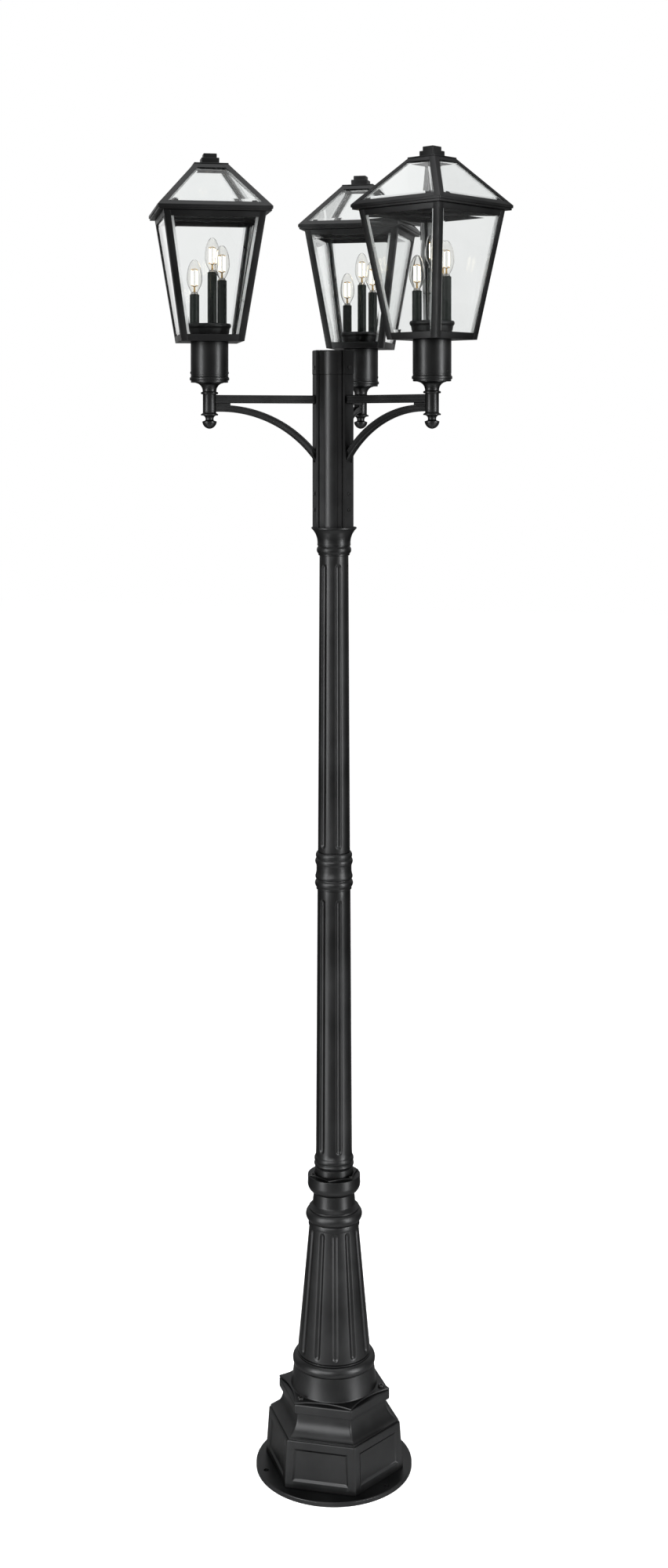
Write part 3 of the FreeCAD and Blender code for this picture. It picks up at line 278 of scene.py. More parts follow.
def bowed(start, end, sag):
    # an arc that stands out to the right of its chord by the sag: its half angle is twice the angle
    # whose tangent is the sag over half the chord
    chord = end - start
    length = np.hypot(*chord)
    along = chord / length
    right = np.array([along[1], -along[0]])
    spread = 2 * math.atan(2 * abs(sag) / length)
    radius = length / 2 / math.sin(spread)
    turn = np.linspace(-spread, spread, bowSteps + 1)[:, None]
    rise = math.copysign(radius, sag) * (np.cos(turn) - math.cos(spread))
    return (start + end) / 2 + radius * np.sin(turn) * along + rise * right


def unit(line):
    return line / np.hypot(*line)


def roundedCorner(before, corner, after, radius):
    # an arc tangent to both sides: its centre stands on their bisector, at radius / sin(half the angle)
    back, ahead = unit(before - corner), unit(after - corner)
    half = math.acos(np.clip(back @ ahead, -1, 1)) / 2
    centre = corner + unit(back + ahead) * radius / math.sin(half)
    first, last = (corner + way * radius / math.tan(half) - centre for way in (back, ahead))
    share = np.linspace(0, 1, cornerSteps + 1)[:, None]
    spokes = first * (1 - share) + last * share
    return centre + radius * spokes / np.hypot(spokes[:, :1], spokes[:, 1:])


def contour(*marks):
    # a line through marks of (across, up, rounding, bow): the rounding swaps the corner for an arc, and
    # the bow makes an arc of the side that ends there
    spots = np.array([mark[:2] for mark in marks], float)
    runs = []
    for index, mark in enumerate(marks):
        rounding, bow = (tuple(mark[2:]) + (0, 0))[:2]
        before, here, after = spots[index - 1], spots[index], spots[(index + 1) % len(marks)]
        if bow:
            runs.append(bowed(before, here, bow)[1:-1])
        runs.append(roundedCorner(before, here, after, rounding) if rounding else here[None])
    return np.concatenate(runs)


def lifted(marks, level):
    return [(across, up + level, *rest) for across, up, *rest in marks]


def outline(shape, tall=0):
    # marks counted up from the foot, then marks counted from the top
    return contour(*shape["up"], *lifted(shape.get("down", ()), tall))


# surfaces

roundingShare = 0.45  # the most of a polygon's flat that its rounding may take


def gridShell(points, loop=True):
    # quads between neighbours of a grid whose columns close up; its rows close up too, or end in flat lids
    rows, columns = points.shape[:2]
    row, column = np.meshgrid(np.arange(rows if loop else rows - 1), np.arange(columns), indexing="ij")
    nextRow, nextColumn = (row + 1) % rows, (column + 1) % columns
    corners = (row, column), (row, nextColumn), (nextRow, nextColumn), (nextRow, column)
    faces = [np.stack([down * columns + along for down, along in corners], axis=-1).reshape(-1, 4)]
    if not loop:
        rim = np.arange(columns)[None]
        faces += [rim[:, ::-1], rim + (rows - 1) * columns]
    return points.reshape(-1, 3), faces


def turnedGrid(line, columns, centre=(0, 0), level=0, bites=()):
    # a line of (radius, height) turned about an upright axis: x = radius cos(angle), y = radius sin(angle);
    # a bite draws the radius in by angle and height
    angle = np.linspace(0, fullTurn, columns, endpoint=False)[None]
    radius, height = line[:, :1] + 0 * angle, line[:, 1:] + 0 * angle
    for bite in bites:
        radius = bite(radius, angle, height)
    x, y = centre[0] + radius * np.cos(angle), centre[1] + radius * np.sin(angle)
    return np.stack([x, y, level + height], axis=-1)


def turnedShell(shape, tall=0, **where):
    # a shape with marks from its top is hollow or bored, and closes up on itself
    return gridShell(turnedGrid(outline(shape, tall), shape["columns"], **where), loop="down" in shape)


def softLower(first, second, blend):
    # the lower of two values, rounded over where they meet
    return 0.5 * (first + second - np.sqrt((first - second) ** 2 + blend ** 2))


def nearest(angle, offset, count):
    # the angle from the nearest of evenly spaced axes
    pitch = fullTurn / count
    return (angle - offset + pitch / 2) % pitch - pitch / 2


def taperMarks(foot, top, flute):
    # marks up a taper between two spots of (radius, height), close together where its flutes end
    ends = np.linspace(-flute["lead"], flute["width"], flute["steps"])
    levels = np.concatenate([foot[1] + flute["foot"] + ends, (top[1] - flute["head"] - ends)[::-1]])
    return list(zip(np.interp(levels, [foot[1], top[1]], [foot[0], top[0]]), levels))


def fluteBite(foot, top, flute, inner):
    # a rod along the taper, with ball ends: off its axis by an angle d, the ring is cut back to
    # a cos(d) - sqrt(rod^2 - past^2 - (a sin(d))^2), a being how far out the rod's axis is
    wide, deep = flute["width"], flute["depth"]
    rod = (wide ** 2 / 4 + deep ** 2) / (2 * deep)
    low, high = foot[1] + flute["foot"] + wide / 2, top[1] - flute["head"] - wide / 2

    def bite(radius, angle, height):
        off = nearest(angle, flute["offset"], flute["count"])
        axis = np.interp(height, [foot[1], top[1]], [foot[0], top[0]]) + rod - deep
        past = np.maximum(np.maximum(low - height, height - high), 0)
        inside = rod ** 2 - past ** 2 - (axis * np.sin(off)) ** 2
        floor = axis * np.cos(off) - np.sqrt(np.maximum(inside, 0))
        bitten = (inside > 0) & (height > foot[1]) & (height < top[1]) & (radius > inner)
        return np.where(bitten, softLower(radius, floor, flute["soft"]), radius)
    return bite


def scallopBite(scallop, low, high, offset):
    # a round cutter from corner to corner on each of six sides: the ring is cut back to
    # a cos(d) - sqrt(cutter^2 - (a sin(d))^2), and a rounded rim keeps its own step in from the edge
    corner, dip = scallop["radius"], scallop["dip"]
    cutter = (corner ** 2 / 4 + dip ** 2) / (2 * dip)
    axis = corner * math.cos(hexTurn / 2) - dip + cutter

    def bite(radius, angle, height):
        off = nearest(angle, offset, hexSides)
        limit = axis * np.cos(off) - np.sqrt(cutter ** 2 - (axis * np.sin(off)) ** 2)
        stepIn = np.where(radius > corner - scallop["rim"], corner - radius, 0)
        cut = softLower(radius, limit - stepIn, scallop["soft"])
        within = (height >= low) & (height <= high) & (radius > scallop["inner"])
        return np.where(within, np.minimum(cut, radius), radius)
    return bite


def polygonGrid(sides, line, rounding, centre=(0, 0), level=0, turn=0.0,
                insets=None, sinks=None, steps=cornerSteps):
    # a line of (flat, height) carried round a polygon: on each side the points stand at chosen insets from
    # the corner, then an arc tangent to both sides, its centre at (flat - rounding) / cos(half turn),
    # rounds the corner
    flat, height = line[:, :1, None], line[:, 1:]
    half = math.pi / sides
    rounding = np.minimum(rounding, roundingShare * flat)
    reach = line[:, :1] * math.tan(half)
    inset = rounding[..., 0] * math.tan(half)
    sunk = 0 * inset
    if insets is not None:
        inset, sunk = np.concatenate([inset, insets], axis=1), np.concatenate([sunk, sinks], axis=1)
    along = np.concatenate([inset - reach, (reach - inset)[:, ::-1]], axis=1)[:, None]
    depth = np.concatenate([sunk, sunk[:, ::-1]], axis=1)[:, None]
    facing = turn + np.arange(sides)[None, :, None] * 2 * half
    sideX = (flat - depth) * np.cos(facing) - along * np.sin(facing)
    sideY = (flat - depth) * np.sin(facing) + along * np.cos(facing)
    swing = facing + np.arange(1, steps)[None, None] / steps * 2 * half
    hub = (flat - rounding) / math.cos(half)
    arcX = hub * np.cos(facing + half) + rounding * np.cos(swing)
    arcY = hub * np.sin(facing + half) + rounding * np.sin(swing)
    x = np.concatenate([sideX, arcX], axis=2).reshape(len(line), -1)
    y = np.concatenate([sideY, arcY], axis=2).reshape(len(line), -1)
    return np.stack([centre[0] + x, centre[1] + y, level + height + 0 * x], axis=-1)


def sweptShell(section, path, side, up):
    # a section of (across, up) carried along a path: each spot plus across times side plus up times the
    # up direction, with one pair of directions for the whole path or one per spot
    across = section[None, :, :1] * np.atleast_2d(side)[:, None]
    above = section[None, :, 1:] * np.atleast_2d(up)[:, None]
    return gridShell(path[:, None] + across + above, loop=False)


def outward(points, faces):
    # the signed volume of the fans of all faces tells which way they look
    volume = 0.0
    for group in faces:
        fan = points[group]
        volume += np.sum(np.cross(fan[:, 1:-1], fan[:, 2:]) * fan[:, :1])
    return faces if volume > 0 else [group[:, ::-1] for group in faces]


pieces = []
plainCrease = 38  # degrees


def addPiece(name, shells, finish, body, stands=None, crease=plainCrease):
    points, corners, sizes, start = [], [], [], 0
    for spots, faces in shells:
        for group in outward(spots - spots.mean(axis=0), faces):
            corners.append((group + start).ravel())
            sizes.append(np.full(len(group), group.shape[1]))
        points.append(spots)
        start += len(spots)
    points, corners, sizes = np.concatenate(points) * mm, np.concatenate(corners), np.concatenate(sizes)
    mesh = bpy.data.meshes.new(name)
    for part, rows in ((mesh.vertices, points), (mesh.loops, corners), (mesh.polygons, sizes)):
        part.add(len(rows))
    mesh.vertices.foreach_set("co", points.ravel().astype(np.float32))
    mesh.loops.foreach_set("vertex_index", corners.astype(np.int32))
    mesh.polygons.foreach_set("loop_start", (np.cumsum(sizes) - sizes).astype(np.int32))
    mesh.update(calc_edges=True)
    mesh.polygons.foreach_set("use_smooth", np.ones(len(sizes), bool))
    mesh.set_sharp_from_angle(angle=math.radians(crease))
    material, slot = finishes[finish]
    mesh.materials.append(material)
    piece = addObject(name, mesh)
    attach(piece, body)
    if stands:
        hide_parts(stands)
    pieces.append(piece)


def turnedPiece(name, node, shape, body, centre=(0, 0)):
    level, tall = standing(node)
    addPiece(name, [turnedShell(shape, tall, centre=centre, level=level)], "coat", body, node)


button = {"dome": 0.6, "rim": 0.4, "chamfer": 0.3, "near": 0.01, "columns": 36}


def screwShell(screw, origin, out=None):
    # a button head with a six-sided socket, upright or laid along a level direction
    wide, high = screw["socket"], screw["height"]

    def socket(radius, angle, height):
        six = wide / np.cos(nearest(angle, 0, hexSides))
        return np.where(radius <= wide + button["near"], np.minimum(six, radius / wide * six), radius)

    line = contour((screw["head"], 0), (screw["head"], high, high * button["dome"]),
                   (wide + button["rim"], high), (wide, high - button["chamfer"]),
                   (wide, high - screw["deep"]))
    grid = turnedGrid(line, button["columns"], bites=[socket])
    if out is not None:
        across = np.array([-out[1], out[0], 0.0])
        grid = grid[..., :1] * across + grid[..., 1:2] * upward + grid[..., 2:] * out
    return gridShell(grid + origin, loop=False)


# plinth

paint("base_plate", "coat")

plinth = {
    "foot": 140, "shoulder": 133.5, "wall": 103, "footSoft": 1.2, "corner": 5.0, "cornerSteps": 6,
    "crease": 26, "margin": 16.5, "border": 5, "sink": 3, "borderSteps": 4, "shares": (0.4, 0.8),
    # marks of (flat, height, rounding, bow) for groove, lip, cove, flaring band, lid and inside
    "rim": [(133.5, 103, 2.2), (129.5, 103, 0.8), (129.5, 106, 0.8), (131.5, 106, 1.0), (105.5, 150, 0, -9),
            (112.5, 153.5, 1.5), (112.5, 173, 2.5), (45, 173), (45, 165), (99.5, 165), (99.5, 103), (134, 0)],
}


def buildPlinth():
    foot, shoulder, wall = plinth["foot"], plinth["shoulder"], plinth["wall"]
    margin, border = plinth["margin"], plinth["border"]
    slant = math.hypot(wall, foot - shoulder)
    slope = np.linspace(margin, margin + border, plinth["borderSteps"] + 1)
    climbs = np.concatenate([slope, [slant / 2], slant - slope[::-1]]) * wall / slant
    flats = foot - (foot - shoulder) * climbs / wall
    line = contour((foot, 0, plinth["footSoft"]), *zip(flats, climbs), *plinth["rim"])
    # the panels sink where both the side's corner and the wall's ends are further off than the margin
    reach = line[:, :1] * math.tan(hexTurn / 2)
    middle = margin + border + np.array(plinth["shares"]) * (reach - margin - border)
    insets = np.concatenate([0 * reach + [margin / 2, *slope], middle], axis=1)
    onWall = (line[:, 0] >= shoulder) & (line[:, 1] <= wall)
    up = np.where(onWall, line[:, 1] * slant / wall, 0)[:, None]
    depth = np.minimum(insets, np.minimum(up, slant - up)) - margin
    sinks = plinth["sink"] * np.clip(depth / border, 0, 1)
    grid = polygonGrid(hexSides, line, plinth["corner"], level=standing("hex_plinth")[0], turn=hexTurn / 2,
                       insets=insets, sinks=sinks, steps=plinth["cornerSteps"])
    addPiece("plinthCasting", [gridShell(grid)], "coat", "post", "hex_plinth", crease=plinth["crease"])


buildPlinth()


# bell
# marks are (radius, height, rounding, bow), those of the collar from the top

flangeThick = 4.8
bell = {
    "flange": {"radius": 130, "dip": 11, "rim": 3, "soft": 1.2, "inner": 99, "ends": (-1, 5)},
    "star": {"radius": 58, "dip": 3, "rim": 1.2, "soft": 0.8, "inner": 45, "ends": (-3.5, 0)},
    "flute": {"width": 13, "depth": 3.5, "foot": 7, "head": 4, "soft": 0.5, "lead": 2, "steps": 9,
              "count": 12, "offset": hexTurn / 4},
    "coneFoot": (83, 81), "coneTop": (56.5, 368), "inner": 55.5, "columns": 360, "crease": 50,
    "drum": [(88, 0), (130, 0, 0.8), (130, flangeThick, 1.8), (98, flangeThick, 2.5), (91, 53, 1.5),
             (85.2, 76, 0, 6), (83, 76.4), (83, 77.2), (84.4, 77.6), (84.4, 79.4, 0.5), (82.2, 79.8),
             (82.2, 81.2), (83, 82)],
    "neck": [(56.5, 368, 1.0), (58.5, 368, 0.8), (58.5, 378), (57.8, 379), (58.5, 380), (58.5, 404, 0, 6),
             (56.4, 404.4), (56.4, 405.4), (57.4, 406), (57.4, 408.4, 0.7), (55.6, 409), (49, 417, 3),
             (46.5, 443, 2), (60, 467, 0, 5)],
    "collar": [(60, -3.6, 1.2), (58.6, -3.6), (58, -3.4), (58, 0, 0.8), (44.3, 0, 0.6)],
    "bore": [(44.3, 472), (33, 472), (33, 379), (46.5, 368), (73, 81)],
}


def buildBell():
    level, tall = standing("fluted_bell")
    foot, top, flute, flange, star = (bell[key] for key in ("coneFoot", "coneTop", "flute", "flange", "star"))
    line = contour(*bell["drum"], *taperMarks(foot, top, flute), *bell["neck"], *lifted(bell["collar"], tall),
                   *bell["bore"])
    # the collar is round, and carries a thin scalloped plate
    starFoot, starTop = star["ends"]
    bites = [fluteBite(foot, top, flute, bell["inner"]), scallopBite(flange, *flange["ends"], hexTurn / 2),
             scallopBite(star, tall + starFoot, tall + starTop, 0.0)]
    grid = turnedGrid(line, bell["columns"], level=level, bites=bites)
    addPiece("bellCasting", [gridShell(grid)], "coat", "post", "fluted_bell", crease=bell["crease"])


buildBell()


# screws of the post

screw = {"head": 4.5, "height": 2.0, "socket": 1.9, "deep": 1.2}
footBolt = {"head": 7.0, "height": 5.2, "socket": 3.0, "deep": 2.5, "circle": 110, "turns": (0, 120, 240)}
starBolt = {"head": 3.6, "height": 2.4, "socket": 1.6, "deep": 1.2, "circle": 51.5, "turns": (90, 210, 330)}
padScrews = [(47, 44), (47, 81), (47.5, 369)]  # reach from the axis, height on the arm post


def buildScrews():
    foot, tall = standing("fluted_bell")
    shells = [screwShell(bolt, bolt["circle"] * heading(turn) + seat * upward)
              for bolt, seat in ((footBolt, foot + flangeThick), (starBolt, foot + tall))
              for turn in bolt["turns"]]
    addPiece("flangeScrewHeads", shells, "screw", "post", "flange_screws")
    foot = standing("arm_post")[0]
    shells = [screwShell(screw, reach * heading(turn) + (foot + level) * upward, heading(turn))
              for turn in armHeadings.values() for reach, level in padScrews]
    addPiece("armPostScrewHeads", shells, "screw", "post", "arm_post_screws")


buildScrews()
print("base built:", len(pieces), "pieces")


# poles

poleFlute = {"width": 14.5, "depth": 4, "foot": 12, "head": 20, "soft": 0.5, "lead": 2, "steps": 9,
             "count": 6, "offset": 0.0}
poles = {
    "lower_pole": {
        "name": "lowerPoleTube", "bore": 30, "inner": 31, "foot": (41.4, 55), "top": 37.9,
        "base": [(43.6, 0, 0.5), (43.6, 28, 1.2), (42.4, 29), (42.4, 30.5), (43.2, 31.5),
                 (43.4, 40, 0, 2.2), (43, 41), (41.8, 54.5, 0, 2.6)]},
    "upper_pole": {
        "name": "upperPoleTube", "bore": 25, "inner": 26, "foot": (36.8, 0), "top": 33.25,
        "base": [(36.8, 0, 0.4)]},
}
poleDetail = {"columns": 300, "edge": 0.4, "crease": 50}


def buildPole(node, pole):
    level, tall = standing(node)
    foot, top = pole["foot"], (pole["top"], tall)
    line = contour(*pole["base"], *taperMarks(foot, top, poleFlute), (*top, poleDetail["edge"]),
                   (pole["bore"], tall), (pole["bore"], 0))
    bites = [fluteBite(foot, top, poleFlute, pole["inner"])]
    grid = turnedGrid(line, poleDetail["columns"], level=level, bites=bites)
    addPiece(pole["name"], [gridShell(grid)], "coat", "post", node, crease=poleDetail["crease"])


for node, pole in poles.items():
    buildPole(node, pole)


# coupling and capital, each with its spigots; marks are (radius, height, rounding, bow)

coupling = {
    "columns": 128,
    "up": [(20, 0), (29.7, 0), (29.7, 40), (39.6, 40), (40.4, 40.8), (40.4, 45.2), (40.8, 46.2),
           (40.8, 62, 0, 3), (40.2, 62.8), (40.2, 64), (41, 64.6), (42.9, 69.4, 0, 0.5), (42.9, 71),
           (40.2, 85, 0, -0.6), (40.2, 89), (41.2, 97.6, 0, -0.4), (41.2, 110.6, 0, 2.1), (40.4, 111.4),
           (40.4, 112.2)],
    "down": [(38.8, -40.6, 0, 2.2), (24.7, -40), (24.7, 0), (20, 0)],
}
capital = {
    "columns": 128,
    "up": [(20, 0), (24.7, 0), (24.7, 40), (35.2, 40), (36, 40.8), (36, 43.2), (36.2, 44),
           (36.9, 60.5, 0, 3.2), (36.9, 62), (38.5, 63)],
    "down": [(50.7, -4.5, 0, -4.6), (52.1, -3.6), (52.1, 0, 1.7), (49.64, 0, 0.6), (49.64, -4), (20, -4)],
}

turnedPiece("poleCouplingRing", "pole_coupling", coupling, "post")
turnedPiece("poleCapitalCup", "pole_capital", capital, "post")


# cap of the arm post

paint("arm_post", "coat")

cap = {"core": 34.5, "reach": 47.5, "half": 15.5, "stepReach": 40.5, "stepHalf": 18.5, "edge": 1.2,
       "crown": 2.5, "flat": 6, "arcSteps": 20}


def paddedOutline(inset):
    # the arm post's section, drawn in by the inset: an arc of the core between the arms, then the
    # stepped pad
    core, stepHalf = cap["core"] - inset, cap["stepHalf"] - inset
    between = math.pi / len(armHeadings)
    spread = between - math.asin(stepHalf / core)
    arc = np.linspace(-spread, spread, cap["arcSteps"])[:-1]
    root = math.sqrt(core ** 2 - stepHalf ** 2)
    stepReach, half, reach = cap["stepReach"] - inset, cap["half"] - inset, cap["reach"] - inset
    corners = np.array([(root, -stepHalf), (stepReach, -stepHalf), (stepReach, -half), (reach, -half),
                        (reach, half), (stepReach, half), (stepReach, stepHalf)])
    runs = []
    for degrees in armHeadings.values():
        turn = math.radians(degrees)
        spin = np.array([[math.cos(turn), math.sin(turn)], [-math.sin(turn), math.cos(turn)]])
        swing = turn + between + arc
        runs += [corners @ spin, core * np.stack([np.cos(swing), np.sin(swing)], axis=1)]
    return np.concatenate(runs)


def buildCap():
    foot, tall = standing("arm_post_cap")
    line = contour((cap["edge"], 0), (0, cap["edge"]), (0, tall, cap["crown"]), (cap["flat"], tall))
    rings = [np.insert(paddedOutline(inset), 2, foot + height, axis=1) for inset, height in line]
    addPiece("armPostCapCasting", [gridShell(np.stack(rings), loop=False)], "coat", "post", "arm_post_cap")


buildCap()


# arms

arm = {"reach": 293, "start": 43, "level": 296, "half": 9.3, "grooveHalf": 3.5, "grooveDepth": 1.5,
       "edge": 1.6, "lip": 0.6, "root": 0.5}
brace = {"half": 7.7, "flat": 27, "padReach": 47, "drop": 105, "tuck": 8, "bendSteps": 48}
packer = {"reach": 47, "height": 3.9, "sink": 2.7, "half": 6.7, "edge": 0.6}
hub = {
    "columns": 96,
    "up": [(5, 0), (14.55, 0), (15.15, 0.6), (15.15, 40), (15.75, 41), (16.3, 46, 0, 3.6), (15.7, 46.8),
           (31.5, 66, 0, -5), (31.5, 67), (42, 67, 1.0), (42, 72, 0.8), (44.5, 72, 1.2), (44.5, 78.85, 1.6),
           (38, 78.85)],
}
dropFinial = {
    "columns": 72,
    "up": [(0.4, 0), (2.2, 0.2), (16.3, 15.6, 0, 3.4), (16.3, 16.6), (10, 19), (9.5, 19.6), (18.6, 30, 0, -4),
           (19.5, 31), (19.5, 32), (17.6, 34, 0, 0.5), (15.6, 35.2), (15, 37), (5, 37)],
}


def armEnd(side):
    return arm["reach"] * heading(armHeadings[side])[:2]


def barSection(half):
    # a square bar with a groove along both sides
    groove, floor = arm["grooveHalf"], half - arm["grooveDepth"]
    right = [(half, -half, arm["edge"]), (half, -groove, arm["lip"]), (floor, -groove, arm["root"]),
             (floor, groove, arm["root"]), (half, groove, arm["lip"]), (half, half, arm["edge"])]
    return contour(*right, *[(-across, up, rounding) for across, up, rounding in reversed(right)])


def buildArm(side):
    out, across = heading(armHeadings[side]), heading(armHeadings[side] + quarter)
    level = standing("arm_post")[0] + arm["level"]

    def straight(section, start):
        path = np.array([start, arm["reach"]])[:, None] * out + level * upward
        return sweptShell(section, path, across, upward)

    shell = straight(barSection(arm["half"]), arm["start"])
    addPiece(f"armBar.{side}", [shell], "coat", "post", f"arm_bar_{side}")
    # the brace runs level under the bar, then down a bend: x = start - R sin(a), z = level - R (1 - cos(a))
    start = arm["reach"] - brace["flat"]
    run = start - brace["padReach"]
    bend = (run ** 2 + brace["drop"] ** 2) / (2 * brace["drop"])
    angle = np.linspace(0, math.asin((run + brace["tuck"]) / bend), brace["bendSteps"])
    angle = np.concatenate([[0], angle])[:, None]
    x = start - bend * np.sin(angle)
    x[0] = arm["reach"]
    drop = arm["half"] + packer["height"] + brace["half"] + bend * (1 - np.cos(angle))
    path = x * out + (level - drop) * upward
    above = np.cos(angle) * upward - np.sin(angle) * out
    shells = [sweptShell(barSection(brace["half"]), path, across, above)]
    # a packer between the two, let into the brace
    half, top, edge = packer["half"], -arm["half"], packer["edge"]
    foot = top - packer["height"] - packer["sink"]
    section = contour((half, foot), (half, top, edge), (-half, top, edge), (-half, foot))
    shells.append(straight(section, arm["reach"] - packer["reach"]))
    addPiece(f"armBrace.{side}", shells, "coat", "post", f"arm_brace_{side}")


for side in armHeadings:
    buildArm(side)
    turnedPiece(f"armHubTurning.{side}", f"arm_hub_{side}", hub, "post", armEnd(side))
    turnedPiece(f"dropFinialTurning.{side}", f"drop_finial_{side}", dropFinial, "post", armEnd(side))
print("post built:", len(pieces), "pieces")


# frames of the lanterns

barEdge, barRoot = 0.5, 0.6  # roundings of an angle bar
paneBevel = {"width": 6, "thick": 1.2, "thin": 0.3, "depth": 5.5}  # depth is down to a pane's inner face


def squareShell(side, line, rounding, level, loop=True):
    grid = polygonGrid(squareSides, line, rounding, armEnd(side), level, math.radians(lanternHeadings[side]))
    return gridShell(grid, loop)


def cornerBars(side, foot, top, width, wall, rounding):
    # an angle bar on each corner of a square that tapers between two spots of (half, level)
    section = contour((0, 0, rounding), (0, -width, barEdge), (-wall, -width, barEdge),
                      (-wall, -wall, barRoot), (-width, -wall, barEdge), (-width, 0, barEdge))
    shells = []
    for out, across in fourFaces(lanternHeadings[side]):
        path = [half * (out + across) + np.append(armEnd(side), level) for half, level in (foot, top)]
        shells.append(sweptShell(section, np.array(path), out, across))
    return shells


def bevelStrips(side, level, half, lean, margin, ends, tuck):
    # a wedge along both sides of each of four leaning panes, on its inner face: a point t up the slope and
    # d behind it stands at height t cos(lean) + d sin(lean) and reaches half + t sin(lean) - d cos(lean)
    # from the axis
    inset = np.array([-tuck, paneBevel["width"], paneBevel["width"], -tuck])
    depth = paneBevel["depth"] + np.array([0, 0, paneBevel["thin"], paneBevel["thick"]])
    along = np.array(ends)[:, None] + 0 * inset
    rise = along * math.cos(lean) + depth * math.sin(lean)
    reach = half + along * math.sin(lean) - depth * math.cos(lean)
    wide = half + rise * math.tan(lean) - margin - inset
    shells = []
    for out, across in fourFaces(lanternHeadings[side]):
        for hand in (-1, 1):
            spots = reach[..., None] * out + hand * wide[..., None] * across + rise[..., None] * upward
            shells.append(gridShell(spots + np.append(armEnd(side), level), loop=False))
    return shells


# fitter

fitter = {
    "columns": 96,
    "up": [(38.3, 0), (42.4, 0, 0.6), (42.4, 3.2, 0.3), (41.7, 3.4), (41.7, 4.6), (42.4, 4.8, 0.3)],
    "down": [(42.4, 0, 0.8), (38.3, 0)],
}
setScrew = {"head": 2.5, "height": 1.4, "socket": 1.2, "deep": 1.0, "level": 10, "reach": 42.2}


def buildFitter(side, body):
    foot, tall = standing(f"fitter_{side}")
    shells = [turnedShell(fitter, tall, centre=armEnd(side), level=foot)]
    for out, _ in fourFaces(lanternHeadings[side]):
        origin = np.append(armEnd(side), foot + setScrew["level"]) + setScrew["reach"] * out
        shells.append(screwShell(setScrew, origin, out))
    addPiece(f"fitterSleeve.{side}", shells, "coat", body, f"fitter_{side}")


# cage

cage = {
    "foot": 70.5, "top": 114, "wall": 2.2, "floor": 3, "post": 15.5, "footRail": 15, "headRail": 13,
    "ledge": 22, "ledgeThick": 3, "ledgeNotch": 12, "wireHole": 9, "shy": 0.25, "corner": 1.6, "edge": 0.5,
    "bevelTuck": 3,
}


def buildCage(side, body):
    foot, tall = standing(f"cage_{side}")
    lean = (cage["top"] - cage["foot"]) / tall
    level = math.cos(math.atan(lean))
    wall, edge, floor, hole = cage["wall"], cage["edge"], cage["floor"], cage["wireHole"]

    def face(height, under=0.0):
        return cage["foot"] + lean * height - cage["shy"] - under, height

    railTop, railFoot = cage["footRail"] * level, tall - cage["headRail"] * level
    footRail = contour((hole, 0), (*face(0), edge), (*face(railTop), edge), (*face(railTop, wall), edge),
                       (*face(floor, wall), edge), (hole, floor))
    headRail = contour((*face(railFoot), edge), (*face(tall), edge), (*face(tall, wall), edge),
                       (*face(railFoot, wall), edge))
    # the ledge inside the head rail: a ring, and four strips that leave its corners open
    inner, ledgeFoot = cage["top"] - wall - cage["ledge"], tall - cage["ledgeThick"]
    outer = face(ledgeFoot, wall / 2)[0]
    notched = face(ledgeFoot, wall)[0] - cage["ledgeNotch"]
    ledge = contour((notched, ledgeFoot, edge), (notched, tall, edge), (inner, tall, edge),
                    (inner, ledgeFoot, edge))
    shells = [squareShell(side, line, cage["corner"], foot) for line in (footRail, headRail, ledge)]
    strip = contour((notched - edge, ledgeFoot, edge), (outer, ledgeFoot), (outer, tall),
                    (notched - edge, tall, edge))
    for out, across in fourFaces(lanternHeadings[side]):
        path = np.array([-notched, notched])[:, None] * across + np.append(armEnd(side), foot)
        shells.append(sweptShell(strip, path, out, upward))
    low, high = (cage["foot"], foot), (cage["top"], foot + tall)
    shells += cornerBars(side, low, high, cage["post"], wall, cage["corner"])
    addPiece(f"cageFrame.{side}", shells, "coat", body, f"cage_{side}")
    ends = cage["footRail"], tall / level - cage["headRail"]
    strips = bevelStrips(side, foot, cage["foot"], math.atan(lean), cage["post"], ends, cage["bevelTuck"])
    addPiece(f"paneBevels.{side}", strips, "bevel", body)


# roof

roof = {
    "eave": 127, "eaveTop": 11, "topHalf": 38.75, "rise": 101, "wall": 2.2, "hip": 15.5, "footRail": 12,
    "headRail": 12, "corner": 2.0, "shy": 0.25, "edge": 0.5, "bevelTuck": 4.5,
    # marks of (flat, height, rounding)
    "fascia": [(100, 0, 0.6), (124.6, 0, 0.6), (124.6, 4.6, 0.3), (126.4, 4.6, 0.5), (127, 5.6, 0.4),
               (127, 11, 1.2)],
    "flange": (100, 3, 0.6), "plate": [(1, 0), (38.15, 0), (38.75, 0.6), (38.75, 3, 1.0), (1, 3)],
}
clip = {"length": 7.5, "width": 11, "thick": 1.6, "inset": 17, "slide": 9, "edge": 0.5}
eaveScrew = {"head": 2.6, "height": 1.0, "socket": 1.2, "deep": 0.7, "level": 2.4, "reach": 124.4}
finial = {
    "corner": 1.5, "up": [(1, 0), (20, 0), (20, 14, 1.2), (15, 14, 0.6)], "down": [(15, 0, 1.2), (1, 0)],
}


